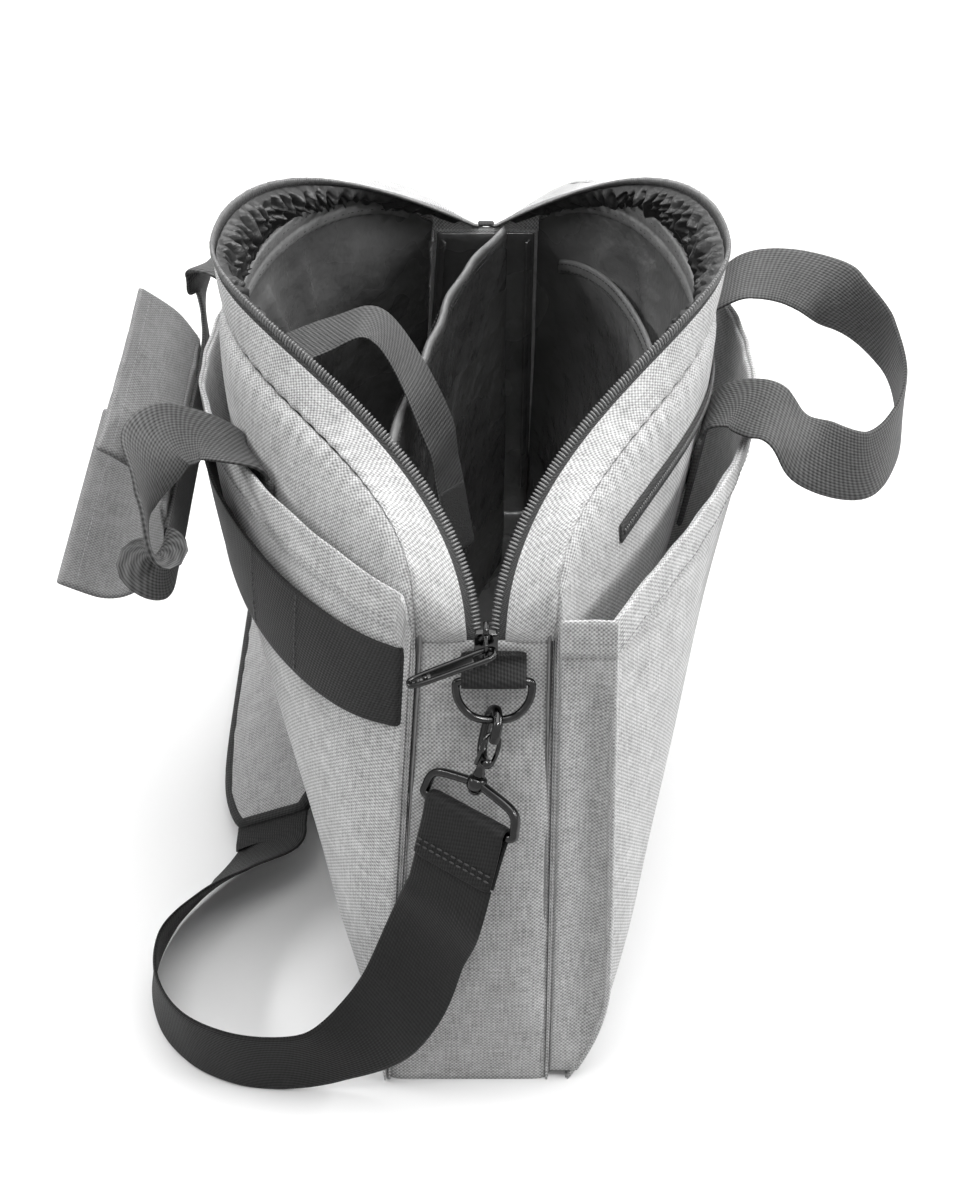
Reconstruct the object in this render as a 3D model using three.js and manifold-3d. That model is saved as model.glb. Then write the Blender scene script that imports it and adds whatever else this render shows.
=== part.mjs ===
// Soft laptop bag, open at the top, with handles, shoulder strap and pockets.
// Millimetres, +Z up. X runs along the bag, -X is the end with the zip slider, +Y is the back
// (slip pocket side) and -Y the front (bellows pocket side). The origin is on the floor, under the
// closed zip line, at the middle of the length.

import * as THREE from 'three';
import { mergeVertices } from 'three/addons/utils/BufferGeometryUtils.js';
import Module from 'manifold-3d';

const wasm = await Module();
wasm.setup();

// Driving dimensions of the shell
const baseHalfLength = 200;
const topHalfLength = 155;        // the splayed mouth draws the zip's ends in
const zipEndHeight = 222;
const seamHeight = 277;           // seam between a main panel and its zip band, at mid-length
const rimHeight = 305;            // zip teeth at mid-length
const fabric = 3;                 // padded outer fabric
const bandFabric = 2.4;           // zip band
const liningFabric = 1;
const seamGap = 0.3;              // clearance between pieces that are sewn together
const gussetTopHalfWidth = 28;
const back = {
  sign: 1, baseEdge: 44, seamOut: 110, rimOut: 114, bulge: 21,
};
const front = {
  sign: -1, baseEdge: 28, seamOut: 96, rimOut: 101, bulge: 15,
};

// Driving dimensions of what is sewn on
const slipPocketEase = 8;         // how far the slip pocket stands off the back panel
const slipPocketFabric = 1.4;
const luggageBandFabric = 1.6;
const bellowsDepth = 23;
const bellowsFabric = 2;
const strapWidth = 38;
const strapFabric = 1.8;
const handleWidth = 30;
const handleFabric = 2.4;
const tabWidth = 25;
const tabFabric = 1.1;
const ringWire = 1.6;             // radius of the D-ring's wire
const hookWire = 1.9;
const gateWire = 0.9;
const dividerFabric = 5;
const dividerHeight = 225;
const padWidth = 60;
const padLength = 235;
const wrapLength = 122;
const wrapFabric = 2;

// Numbers of steps
const lengthSteps = 24;

const v3 = (x, y, z) => new THREE.Vector3(x, y, z);
const lerp = THREE.MathUtils.lerp;

// Materials
const paint = (color, roughness, metalness = 0) =>
  new THREE.MeshStandardMaterial({ color, roughness, metalness });
const finish = {
  heather: paint(0xa6a6a4, 0.9),
  darkHeather: paint(0x6f6f70, 0.9),
  webbing: paint(0x2b2b2c, 0.8),
  lining: paint(0x17181a, 0.35),
  binding: paint(0x8b8b8c, 0.7),
  nickel: paint(0x2a2a2c, 0.25, 1),
  coil: paint(0x3a3a3c, 0.4),
  tape: paint(0x151516, 0.8),
};

const bag = new THREE.Group();

const addPiece = (name, geometry, material, parent = bag) => {
  const mesh = new THREE.Mesh(geometry, material);
  mesh.name = name;
  parent.add(mesh);
  return mesh;
};

// A closed solid through rings of equally many points; each ring has an even number of points,
// and an open solid's ends are closed by strips across the ring. Both halves of a ring split their
// faces along the same diagonal, so that layers on each other stay parallel.
const loft = (rings, closed = false) => {
  const count = rings[0].length;
  const position = rings.flat().flatMap((p) => [p.x, p.y, p.z]);
  const index = [];
  const last = closed ? rings.length : rings.length - 1;
  for (let i = 0; i < last; i += 1) {
    const here = i * count;
    const next = ((i + 1) % rings.length) * count;
    for (let j = 0; j < count; j += 1) {
      const k = (j + 1) % count;
      if (j < count / 2) {
        index.push(here + j, here + k, next + k, here + j, next + k, next + j);
      } else {
        index.push(here + j, here + k, next + j, here + k, next + k, next + j);
      }
    }
  }
  if (!closed) {
    const end = (rings.length - 1) * count;
    for (let j = 0; j < count / 2 - 1; j += 1) {
      const a = j;
      const b = j + 1;
      const c = count - 2 - j;
      const d = count - 1 - j;
      index.push(a, c, b, a, d, c);
      index.push(end + a, end + b, end + c, end + a, end + c, end + d);
    }
  }
  const geometry = new THREE.BufferGeometry();
  geometry.setAttribute('position', new THREE.Float32BufferAttribute(position, 3));
  geometry.setIndex(index);
  if (volumeOf(geometry) < 0) {
    geometry.setIndex(index.reverse());
  }
  return geometry;
};

const volumeOf = (geometry) => {
  const position = geometry.attributes.position;
  const index = geometry.index;
  const corner = (n) => new THREE.Vector3().fromBufferAttribute(position, index.getX(n));
  let volume = 0;
  for (let n = 0; n < index.count; n += 3) {
    volume += corner(n).dot(corner(n + 1).cross(corner(n + 2))) / 6;
  }
  return volume;
};

// Solids for joining and cutting
const solidOf = (geometry) => {
  const bare = geometry.clone();
  bare.deleteAttribute('normal');
  bare.deleteAttribute('uv');
  const merged = mergeVertices(bare, 1e-4);
  return new wasm.Manifold(new wasm.Mesh({
    numProp: 3,
    vertProperties: new Float32Array(merged.attributes.position.array),
    triVerts: new Uint32Array(merged.index.array),
  }));
};

const geometryOf = (solid) => {
  const mesh = solid.getMesh();
  const geometry = new THREE.BufferGeometry();
  geometry.setAttribute('position', new THREE.BufferAttribute(mesh.vertProperties, 3));
  geometry.setIndex(new THREE.BufferAttribute(mesh.triVerts, 1));
  return geometry;
};

// An upright cylinder between two heights on the local Z axis
const post = (radius, low, high, sides = 16) => {
  const geometry = new THREE.CylinderGeometry(radius, radius, high - low, sides);
  geometry.rotateX(Math.PI / 2);
  geometry.translate(0, 0, (low + high) / 2);
  return geometry;
};

// A round rod along points
const rod = (points, radius, { sides = 8, steps = 24, closed = false, tension = 0.5 } = {}) => {
  const curve = new THREE.CatmullRomCurve3(points, closed, 'catmullrom', tension);
  const frames = curve.computeFrenetFrames(steps, closed);
  const rings = [];
  for (let i = 0; i < (closed ? steps : steps + 1); i += 1) {
    const centre = curve.getPointAt(i / steps);
    const ring = [];
    for (let j = 0; j < sides; j += 1) {
      const turn = (2 * Math.PI * (j + 0.5)) / sides;
      ring.push(centre.clone()
        .addScaledVector(frames.normals[i], radius * Math.cos(turn))
        .addScaledVector(frames.binormals[i], radius * Math.sin(turn)));
    }
    rings.push(ring);
  }
  return loft(rings, closed);
};

// Flat webbing along points; each point carries the direction of the webbing's width
const ribbon = (stations, width, thickness, steps) => {
  const path = new THREE.CatmullRomCurve3(stations.map((s) => s.at), false, 'centripetal');
  const across = new THREE.CatmullRomCurve3(stations.map((s) => s.across), false, 'centripetal');
  const rings = [];
  for (let i = 0; i <= steps; i += 1) {
    const t = i / steps;
    const centre = path.getPoint(t);
    const along = path.getTangent(t);
    const side = across.getPoint(t);
    side.addScaledVector(along, -side.dot(along)).normalize();
    const face = new THREE.Vector3().crossVectors(along, side).normalize();
    const corner = (s, f) => centre.clone()
      .addScaledVector(side, (s * width) / 2)
      .addScaledVector(face, (f * thickness) / 2);
    rings.push([corner(-1, -1), corner(1, -1), corner(1, 1), corner(-1, 1)]);
  }
  return loft(rings);
};

const station = (x, y, z, across) => ({ at: v3(x, y, z), across: v3(...across) });

// Shape of the splayed shell

// k runs from -1 at the near end to 1 at the far end
const openness = (k, nearPower, farPower) => (k < 0
  ? (0.5 * (1 + Math.cos(Math.PI * k))) ** nearPower
  : (1 - k * k) ** farPower);

const basePoint = (side, k) => v3(
  baseHalfLength * k,
  side.sign * (side.baseEdge + 3 * (1 - k * k)),
  0,
);

const seamPoint = (side, k) => v3(
  topHalfLength * k,
  side.sign * lerp(gussetTopHalfWidth, side.seamOut, openness(k, 0.75, 0.8)),
  zipEndHeight + (seamHeight - zipEndHeight) * (1 - Math.abs(k) ** 3) ** (1 / 3),
);

const zipHalfGap = 2.6;
const rimPoint = (side, k) => v3(
  topHalfLength * k,
  side.sign * lerp(zipHalfGap, side.rimOut, openness(k, 0.9, 1)),
  zipEndHeight + (rimHeight - zipEndHeight) * (1 - Math.abs(k) ** 2.5),
);

// v runs from 0 at the base over 1 at the seam to 2 at the zip teeth
const wallPoint = (side, k, v) => {
  if (v > 1) {
    return seamPoint(side, k).lerp(rimPoint(side, k), v - 1);
  }
  const point = basePoint(side, k).lerp(seamPoint(side, k), v);
  const swell = Math.sin(Math.PI * v) ** 0.6 * (1 - k ** 6);
  point.y += side.sign * side.bulge * (Number.isNaN(swell) ? 0 : swell);
  return point;
};

// Outward normal, level at the zip's ends so that inner faces stay above the end gussets, and the
// same on both sides of the seam so that the edges that meet there stay parallel
const wallNormal = (side, k, height) => {
  const v = Math.abs(height - 1) < 0.04 ? 1 : height;
  const stepK = 0.02;
  const stepV = 0.06;
  const low = Math.max(v - stepV, 0.02);
  const high = Math.min(v + stepV, 1.98);
  const lowK = Math.max(k - stepK, -0.995);
  const highK = Math.min(k + stepK, 0.995);
  const alongK = wallPoint(side, highK, v).sub(wallPoint(side, lowK, v));
  const alongV = wallPoint(side, k, high).sub(wallPoint(side, k, low));
  const normal = new THREE.Vector3().crossVectors(alongK, alongV).normalize();
  normal.multiplyScalar(-side.sign);
  if (Math.abs(k) > 0.999) {
    const turn = THREE.MathUtils.smoothstep(v, 0.94, 1.06) * (Math.PI / 2);
    normal.set(Math.sign(k) * Math.sin(turn), side.sign * Math.cos(turn), 0);
  } else if (v < 0.08) {
    normal.setZ(0).normalize();
  }
  return normal;
};

const insideWall = (side, k, v, depth) =>
  wallPoint(side, k, v).addScaledVector(wallNormal(side, k, v), -depth);

const outsideWall = (side, k, v, out) => {
  const point = wallPoint(side, k, v);
  point.y += side.sign * out;
  return point;
};

// Steps along the length, closer together at the ends
const lengthStep = (i) => Math.sin((Math.PI / 2) * ((2 * i) / lengthSteps - 1));

// A sheet between two surfaces over rows of heights; all sheets share their steps along the
// length, and trim drops steps at both ends
const sheet = (outer, inner, rows, trim = 0) => {
  const rings = [];
  for (let i = trim; i <= lengthSteps - trim; i += 1) {
    const k = lengthStep(i);
    const ring = rows.map((v) => outer(k, v));
    ring.push(...rows.map((v) => inner(k, v)).reverse());
    rings.push(ring);
  }
  return loft(rings);
};

// A sheet inside the wall, from depth d0 to d1
const wallSheet = (side, rows, d0, d1, trim) => sheet(
  (k, v) => insideWall(side, k, v, d0),
  (k, v) => insideWall(side, k, v, d1),
  rows,
  trim,
);

const wallRows = [0.05, 0.13, 0.26, 0.42, 0.58, 0.74, 0.87];
const seamRow = 0.95;

// Shell

const gussetTilt = (baseHalfLength - topHalfLength) / zipEndHeight;
const gussetX = (z) => baseHalfLength - gussetTilt * z;
const edgeInset = fabric + seamGap;

const gusset = (end, depth, thickness, lowZ, highZ, inset) => {
  const rings = [];
  const rows = 6;
  for (let i = 0; i <= rows; i += 1) {
    const z = lerp(lowZ, highZ, i / rows);
    const w = z / zipEndHeight;
    const backY = lerp(back.baseEdge, gussetTopHalfWidth, w) - inset;
    const frontY = -lerp(front.baseEdge, gussetTopHalfWidth, w) + inset;
    const outerX = end * (gussetX(z) - depth);
    const innerX = outerX - end * thickness;
    rings.push([v3(outerX, frontY, z), v3(outerX, backY, z), v3(innerX, backY, z), v3(innerX, frontY, z)]);
  }
  return loft(rings);
};

const flatPiece = (outline, low, high) => {
  const geometry = new THREE.ExtrudeGeometry(new THREE.Shape(outline), { depth: high - low, bevelEnabled: false });
  geometry.translate(0, 0, low);
  return geometry;
};

const floorOutline = (endInset, sideInset) => {
  const steps = 10;
  const outline = [];
  const halfLength = baseHalfLength - endInset;
  for (let i = 0; i <= steps; i += 1) {
    const k = -1 + (2 * i) / steps;
    outline.push(new THREE.Vector2(halfLength * k, basePoint(front, k).y + sideInset));
  }
  for (let i = steps; i >= 0; i -= 1) {
    const k = -1 + (2 * i) / steps;
    outline.push(new THREE.Vector2(halfLength * k, basePoint(back, k).y - sideInset));
  }
  return outline;
};

const baseEndInset = edgeInset + gussetTilt * fabric;
addPiece('base_panel', flatPiece(floorOutline(baseEndInset, edgeInset), 0, fabric), finish.heather);
for (const [name, end] of [['near_end_gusset', -1], ['far_end_gusset', 1]]) {
  addPiece(name, gusset(end, 0, fabric, 0, zipEndHeight - seamGap, edgeInset), finish.heather);
}

const tapeStart = 1.8;
const bandRows = [1.22, 1.48, 1.74];
for (const [name, side] of [['back', back], ['front', front]]) {
  addPiece(`${name}_panel`, wallSheet(side, [0, ...wallRows, seamRow, 0.99], 0, fabric), finish.heather);
  addPiece(`${name}_zip_band`, wallSheet(side, [1.036, ...bandRows, tapeStart - 0.03], 0, bandFabric, 1), finish.heather);
  addPiece(`${name}_zip_tape`, wallSheet(side, [tapeStart, 1.94], 0.5, 1.5), finish.tape);
  addPiece(`${name}_zip_teeth`, wallSheet(side, [1.96, 2.02], -0.4, 2), finish.coil);
}

// Lining

const liningDepth = fabric + 0.6;
const liningInset = fabric + 3;
for (const [name, side] of [['back', back], ['front', front]]) {
  addPiece(
    `${name}_lining`,
    wallSheet(side, [...wallRows, seamRow], liningDepth, liningDepth + liningFabric, 2),
    finish.lining,
  );
  addPiece(
    `${name}_band_lining`,
    wallSheet(side, bandRows, bandFabric + 0.8, bandFabric + 0.8 + liningFabric, 2),
    finish.lining,
  );
}

// One strip of lining runs down the near end, along the floor and up the far end
const gussetLining = () => {
  const low = fabric + 0.5;
  const high = zipEndHeight - 6;
  const outline = [];
  for (let i = 0; i <= 4; i += 1) {
    outline.push([-1, lerp(high, low, i / 4)]);
  }
  for (let i = 0; i <= 4; i += 1) {
    outline.push([1, lerp(low, high, i / 4)]);
  }
  const rings = outline.map(([end, z]) => {
    const w = z / zipEndHeight;
    const backY = lerp(back.baseEdge, gussetTopHalfWidth, w) - liningInset - 2.5;
    const frontY = -lerp(front.baseEdge, gussetTopHalfWidth, w) + liningInset + 2.5;
    const outerX = end * (gussetX(z) - fabric - 0.5);
    const innerX = outerX - end * liningFabric;
    const innerZ = z === low ? z + liningFabric : z;
    return [v3(outerX, frontY, z), v3(outerX, backY, z), v3(innerX, backY, innerZ), v3(innerX, frontY, innerZ)];
  });
  return loft(rings);
};
addPiece('gusset_lining', gussetLining(), finish.lining);

// Padded divider that bows to the back, with a bound upper edge
const dividerPath = new THREE.CatmullRomCurve3([
  v3(-150, 10, 0), v3(-95, 32, 0), v3(-30, 40, 0), v3(35, 28, 0), v3(95, 14, 0), v3(148, -8, 0),
]);
const dividerWall = (thickness, low, high) => {
  const rings = [];
  const steps = 16;
  for (let i = 0; i <= steps; i += 1) {
    const centre = dividerPath.getPoint(i / steps);
    const along = dividerPath.getTangent(i / steps);
    const out = v3(-along.y, along.x, 0).multiplyScalar(thickness / 2);
    const corner = (sign, z) => centre.clone().addScaledVector(out, sign).setZ(z);
    rings.push([corner(-1, low), corner(1, low), corner(1, high), corner(-1, high)]);
  }
  return loft(rings);
};
const bindingHeight = 5;
addPiece('divider', dividerWall(dividerFabric, 6, dividerHeight - bindingHeight - seamGap), finish.lining);
addPiece('divider_binding', dividerWall(dividerFabric + 1, dividerHeight - bindingHeight, dividerHeight), finish.binding);

// Slip pocket on the front lining, with a bound upper edge that sags from the far corner
const innerPocketEnd = Math.abs(lengthStep(3));
const innerPocketDepth = (k) => liningDepth + liningFabric + seamGap + 0.6 + 10 * (1 - (k / innerPocketEnd) ** 2);
const innerPocketTop = (k) => lerp(0.74, 0.82, (k + 1) / 2);
const shares = (rows) => Array.from({ length: rows + 1 }, (_, i) => i / rows);
const innerPocketSheet = (v0, v1, extra, thickness, rows) => sheet(
  (k, s) => insideWall(front, k, lerp(v0(k), v1(k), s), innerPocketDepth(k) - extra),
  (k, s) => insideWall(front, k, lerp(v0(k), v1(k), s), innerPocketDepth(k) - extra + thickness),
  shares(rows),
  3,
);
addPiece('inner_pocket', innerPocketSheet(() => 0.25, (k) => innerPocketTop(k) - 0.0265, 0, liningFabric, 4), finish.lining);
addPiece(
  'inner_pocket_binding',
  innerPocketSheet((k) => innerPocketTop(k) - 0.025, innerPocketTop, 0.5, liningFabric + 1, 1),
  finish.binding,
);

// Webbing strap that holds the laptop, sewn to the back lining and hanging over the divider
const laptopStrapWidth = 25;
const hangingWay = v3(-12, -5, -25).normalize();
const hanging = (drop) => ({
  at: v3(-14, 20, 214).addScaledVector(hangingWay, drop),
  across: v3(0.93, -0.3, 0.15),
});
addPiece('laptop_strap', ribbon([
  station(-2, 106.2, 238, [1, 0, 0]),
  station(-2, 104.5, 243, [1, 0, 0]),
  station(-1, 93, 253, [1, 0, 0.1]),
  station(4, 74, 258, [1, -0.1, 0.1]),
  station(8, 52, 254, [1, -0.2, 0]),
  station(2, 34, 238, [1, -0.3, 0]),
  hanging(0),
  hanging(15),
  hanging(22),
], laptopStrapWidth, 1.6, 20), finish.webbing);
addPiece('laptop_strap_patch', ribbon([hanging(22.5), hanging(51)], laptopStrapWidth, 2.4, 2), finish.webbing);

// Slip pocket on the back panel

const pocketEase = (k, v) => 0.4 + slipPocketEase * (1 - k ** 8) * Math.min(1, v / 0.2);
const pocketTop = (k) => lerp(0.875, 0.99, k ** 4);
const pocketRow = (k, v) => Math.min(v, pocketTop(k));
addPiece('slip_pocket', sheet(
  (k, v) => outsideWall(back, k, pocketRow(k, v), pocketEase(k, v) + slipPocketFabric),
  (k, v) => outsideWall(back, k, pocketRow(k, v), pocketEase(k, v)),
  [0.004, ...wallRows.slice(0, -1), 1],
  1,
), finish.heather);

// Luggage band of webbing, sewn down at both ends and over the pocket, free in the middle
const bandLow = (k) => lerp(0.62, 0.83, Math.abs(k) ** 5);
const bandHigh = (k) => lerp(0.765, 0.975, Math.abs(k) ** 5);
const bandEase = (k) => pocketEase(k, 1) + slipPocketFabric + 1.2 + 2 * (1 - k * k) ** 3;
const bandSurface = (extra) => (k, s) =>
  outsideWall(back, k, lerp(bandLow(k), bandHigh(k), s), bandEase(k) + extra);
addPiece('luggage_band', sheet(bandSurface(luggageBandFabric), bandSurface(0), shares(2), 1), finish.webbing);

// Bellows pocket on the front panel

const wallOut = (v) => bellowsDepth - 4 * v;
const bellowsTop = (k) => lerp(0.85, 0.975, Math.abs(k) ** 6);    // the hem runs level to the corners
const bellowsRows = [0.16, 0.32, 0.5, 0.68, 0.86, 0.94, 1];       // shares of the pocket's height
const bellowsSurface = (extra) => (k, share) => {
  const v = share * bellowsTop(k);
  return outsideWall(front, k, v, wallOut(v) + extra);
};
addPiece('bellows_pocket_wall', sheet(
  bellowsSurface(bellowsFabric),
  bellowsSurface(0),
  [0, ...bellowsRows],
  1,
), finish.heather);
addPiece('bellows_pocket_hem', sheet(
  bellowsSurface(bellowsFabric + 1.4),
  bellowsSurface(bellowsFabric + 0.3),
  bellowsRows.slice(-2),
  1,
), finish.heather);
for (const [name, end] of [['near_bellows', -1], ['far_bellows', 1]]) {
  const outerK = Math.abs(lengthStep(1));
  const innerK = outerK - 0.014;
  const corner = (k, v, out) => outsideWall(front, end * k, v, out);
  addPiece(name, loft([0.02, ...bellowsRows].map((share) => share * bellowsTop(outerK)).map((v) => [
    corner(outerK, v, 0.6), corner(outerK, v, wallOut(v) - 0.6),
    corner(innerK, v, wallOut(v) - 1), corner(innerK, v, 0.6),
  ])), finish.heather);
}
const bellowsFloor = () => {
  const rings = [];
  for (let i = 2; i <= lengthSteps - 2; i += 1) {
    const k = lengthStep(i);
    const edge = basePoint(front, k);
    const inner = edge.y - 1.2;
    const outer = edge.y - bellowsDepth + 0.8;
    rings.push([v3(edge.x, inner, 0), v3(edge.x, outer, 0), v3(edge.x, outer, 2), v3(edge.x, inner, 2)]);
  }
  return loft(rings);
};
addPiece('bellows_pocket_floor', bellowsFloor(), finish.heather);
addPiece('front_pocket_zip', sheet(
  (k, v) => outsideWall(front, k, v, 2.2),
  (k, v) => outsideWall(front, k, v, 0.6),
  [0.885, 0.915],
  5,
), finish.coil);

// Zip slider, pull and stop, at the ends of the zip

const pullLength = 31;
const pullWire = 1;
const pullHalf = 2.7;
const barHalf = 1;
const sliderX = -(topHalfLength + 3.2);
const sliderHeight = zipEndHeight + 2;
const sliderDepth = 3.6;
const eye = pullHalf + pullWire + 1.2;
const barX = sliderX - sliderDepth / 2 - eye;
const block = (x0, x1, halfY, halfZ) => {
  const geometry = new THREE.BoxGeometry(x1 - x0, 2 * halfY, 2 * halfZ);
  geometry.translate((x0 + x1) / 2, 0, sliderHeight);
  return solidOf(geometry);
};
const sliderFace = sliderX - sliderDepth / 2;
const slider = block(sliderFace, sliderX + sliderDepth / 2, 4.5, 6)
  .add(block(barX - barHalf, sliderFace + 0.5, 0.9, 5.5))
  .subtract(block(barX + barHalf, sliderFace, 3, 3.6));
addPiece('zip_slider', geometryOf(slider), finish.nickel);
const pullGroup = new THREE.Group();
pullGroup.position.set(barX, 0, sliderHeight);
pullGroup.rotation.set(THREE.MathUtils.degToRad(-17), 0, THREE.MathUtils.degToRad(12));
bag.add(pullGroup);
addPiece('zip_pull', rod([
  v3(pullHalf, -1, 0), v3(0, -3.4, 0), v3(-pullHalf, -1, 0), v3(-pullHalf, pullLength * 0.4, 0),
  v3(-pullHalf * 0.8, pullLength - 3, 0), v3(0, pullLength, 0), v3(pullHalf * 0.8, pullLength - 3, 0),
  v3(pullHalf, pullLength * 0.4, 0),
], pullWire, { sides: 6, steps: 28, closed: true }), finish.nickel, pullGroup);
const stop = new THREE.BoxGeometry(3, 10, 5);
stop.translate(topHalfLength + 2.4, 0, zipEndHeight + 3);
addPiece('far_zip_stop', stop, finish.tape);

// Tab, D-ring, swivel hook and strap ring at each end

const ringBarHeight = 208.5;
const ringBarOut = 5.2;
const ringInside = 13;            // half of the D-ring's width inside
const ringDrop = 16;
const wireGap = 0.35;
const hookTop = ringWire + hookWire + wireGap + 0.3;
const hookHalfWidth = 6.4;
const hookLength = 17;
const shankEnd = -24;
const collarLow = -30;
const collarRadius = 3.9;
const barDrop = -42;
const strapRingHalf = strapWidth / 2 + 2.6;

const tabLoop = (centre, end) => {
  const radius = ringWire + wireGap + tabFabric / 2;
  const stations = [];
  const add = (out, z) => stations.push(station(centre.x + end * out, centre.y, centre.z + z, [0, 1, 0]));
  const onGusset = (z) => seamGap + tabFabric / 2 - ringBarOut - gussetTilt * z;
  const layer = tabFabric + 0.2;
  add(onGusset(9) + layer, 9);
  add(onGusset(6) + layer, 6);
  for (let i = 0; i <= 8; i += 1) {
    const turn = lerp(0.35, -1.1, i / 8) * Math.PI;
    add(radius * Math.cos(turn), radius * Math.sin(turn));
  }
  add(onGusset(6), 6);
  add(onGusset(9), 9);
  return ribbon(stations, tabWidth, tabFabric, 28);
};

const dRing = () => {
  const half = ringInside + ringWire;
  return rod([
    v3(0, -half + 2, 0), v3(0, 0, 0), v3(0, half - 2, 0), v3(0, half, -2.5), v3(0, half - 1.5, -9),
    v3(0, half * 0.55, -ringDrop + 1.5), v3(0, 0, -ringDrop), v3(0, -half * 0.55, -ringDrop + 1.5),
    v3(0, -half + 1.5, -9), v3(0, -half, -2.5),
  ], ringWire, { steps: 40, closed: true });
};

const hook = () => {
  const wire = rod([
    v3(0, -hookHalfWidth, -6), v3(0, -hookHalfWidth, -3), v3(0, -hookHalfWidth * 0.8, 1.2),
    v3(0, 0, hookTop), v3(0, hookHalfWidth * 0.85, 0.8),
    v3(0, hookHalfWidth, -6), v3(0, hookHalfWidth * 0.75, -hookLength + 3), v3(0, 0, -hookLength),
    v3(0, -hookHalfWidth, -hookLength + 1),
  ], hookWire, { steps: 28 });
  const shank = post(2.3, shankEnd, -hookLength + 0.5);
  const pin = post(1.4, collarLow - 1.5, shankEnd + 0.5);
  const head = post(2.6, collarLow - 1.6, collarLow - wireGap);
  return geometryOf(solidOf(wire).add(solidOf(shank)).add(solidOf(pin)).add(solidOf(head)));
};

// A loop of wire that straddles the hook's foot and closes against the inside of its nose
const gateFoot = -hookLength - 1;
const gate = () => {
  const legX = hookWire + gateWire + wireGap;
  const noseY = -hookHalfWidth + hookWire + gateWire + wireGap;
  return rod([
    v3(legX, -2, gateFoot), v3(legX, -4.4, -11.5), v3(legX * 0.95, noseY - 0.8, -7), v3(legX * 0.6, noseY - 0.1, -5.2),
    v3(0, noseY, -4.6), v3(-legX * 0.6, noseY - 0.1, -5.2), v3(-legX * 0.95, noseY - 0.8, -7), v3(-legX, -4.4, -11.5),
    v3(-legX, -2, gateFoot),
  ], gateWire, { sides: 6, steps: 24 });
};

const strapRing = () => {
  const bar = barDrop;
  const frame = rod([
    v3(0, 0, collarLow + 2.6), v3(0, -collarRadius - 2, collarLow + 2), v3(0, -strapRingHalf + 3, collarLow - 1.2),
    v3(0, -strapRingHalf, bar + 4), v3(0, -strapRingHalf + 2, bar), v3(0, 0, bar), v3(0, strapRingHalf - 2, bar),
    v3(0, strapRingHalf, bar + 4), v3(0, strapRingHalf - 3, collarLow - 1.2), v3(0, collarRadius + 2, collarLow + 2),
  ], 1.7, { steps: 44, closed: true });
  const collar = post(collarRadius, collarLow, shankEnd - wireGap);
  const bore = post(1.4 + wireGap, collarLow - 1, shankEnd + 1);
  const headRoom = post(2.6 + wireGap, collarLow - 4, collarLow);
  return geometryOf(solidOf(frame).add(solidOf(collar)).subtract(solidOf(bore)).subtract(solidOf(headRoom)));
};

// The sewn end of the strap round the strap ring's bar, in the ring's own frame
const strapEnd = () => {
  const radius = 1.7 + wireGap + strapFabric / 2;
  const stations = [];
  const add = (out, z) => stations.push(station(out, 0, barDrop + z, [0, 1, 0]));
  add(-1.4, -24);
  add(-1.9, -8);
  for (let i = 0; i <= 8; i += 1) {
    const turn = lerp(1.1, -0.1, i / 8) * Math.PI;
    add(radius * Math.cos(turn), radius * Math.sin(turn));
  }
  add(1.9, -8);
  add(1.4, -24);
  return ribbon(stations, strapWidth, strapFabric, 26);
};

const endFrames = {};
const hangs = {
  near: { end: -1, y: -3, out: 24, lean: 14, hookYaw: -76, ringYaw: -35 },
  far: { end: 1, y: 0, out: 24, lean: 0, hookYaw: 60, ringYaw: 20 },
};
for (const [name, hang] of Object.entries(hangs)) {
  const { end } = hang;
  const bar = v3(end * (gussetX(ringBarHeight) + ringBarOut), hang.y, ringBarHeight);
  addPiece(`${name}_tab`, tabLoop(bar, end), finish.webbing);
  const chain = new THREE.Group();
  chain.position.copy(bar);
  chain.rotation.y = end * Math.atan2(-hang.out, 57);
  bag.add(chain);
  addPiece(`${name}_d_ring`, dRing(), finish.nickel, chain);
  const hookFrame = new THREE.Group();
  hookFrame.position.z = -ringDrop;
  hookFrame.rotation.set(THREE.MathUtils.degToRad(hang.lean), 0, THREE.MathUtils.degToRad(hang.hookYaw));
  chain.add(hookFrame);
  addPiece(`${name}_hook`, hook(), finish.nickel, hookFrame);
  addPiece(`${name}_hook_gate`, gate(), finish.nickel, hookFrame);
  const ringFrame = new THREE.Group();
  ringFrame.rotation.z = THREE.MathUtils.degToRad(hang.ringYaw - hang.hookYaw);
  hookFrame.add(ringFrame);
  addPiece(`${name}_strap_ring`, strapRing(), finish.nickel, ringFrame);
  addPiece(`${name}_strap_end`, strapEnd(), finish.webbing, ringFrame);
  bag.updateMatrixWorld(true);
  endFrames[name] = ringFrame.matrixWorld.clone();
}

// Shoulder strap: it falls from the near hook, loops on the floor beside the bag, runs through the
// pad behind it and rises to the far hook

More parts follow.
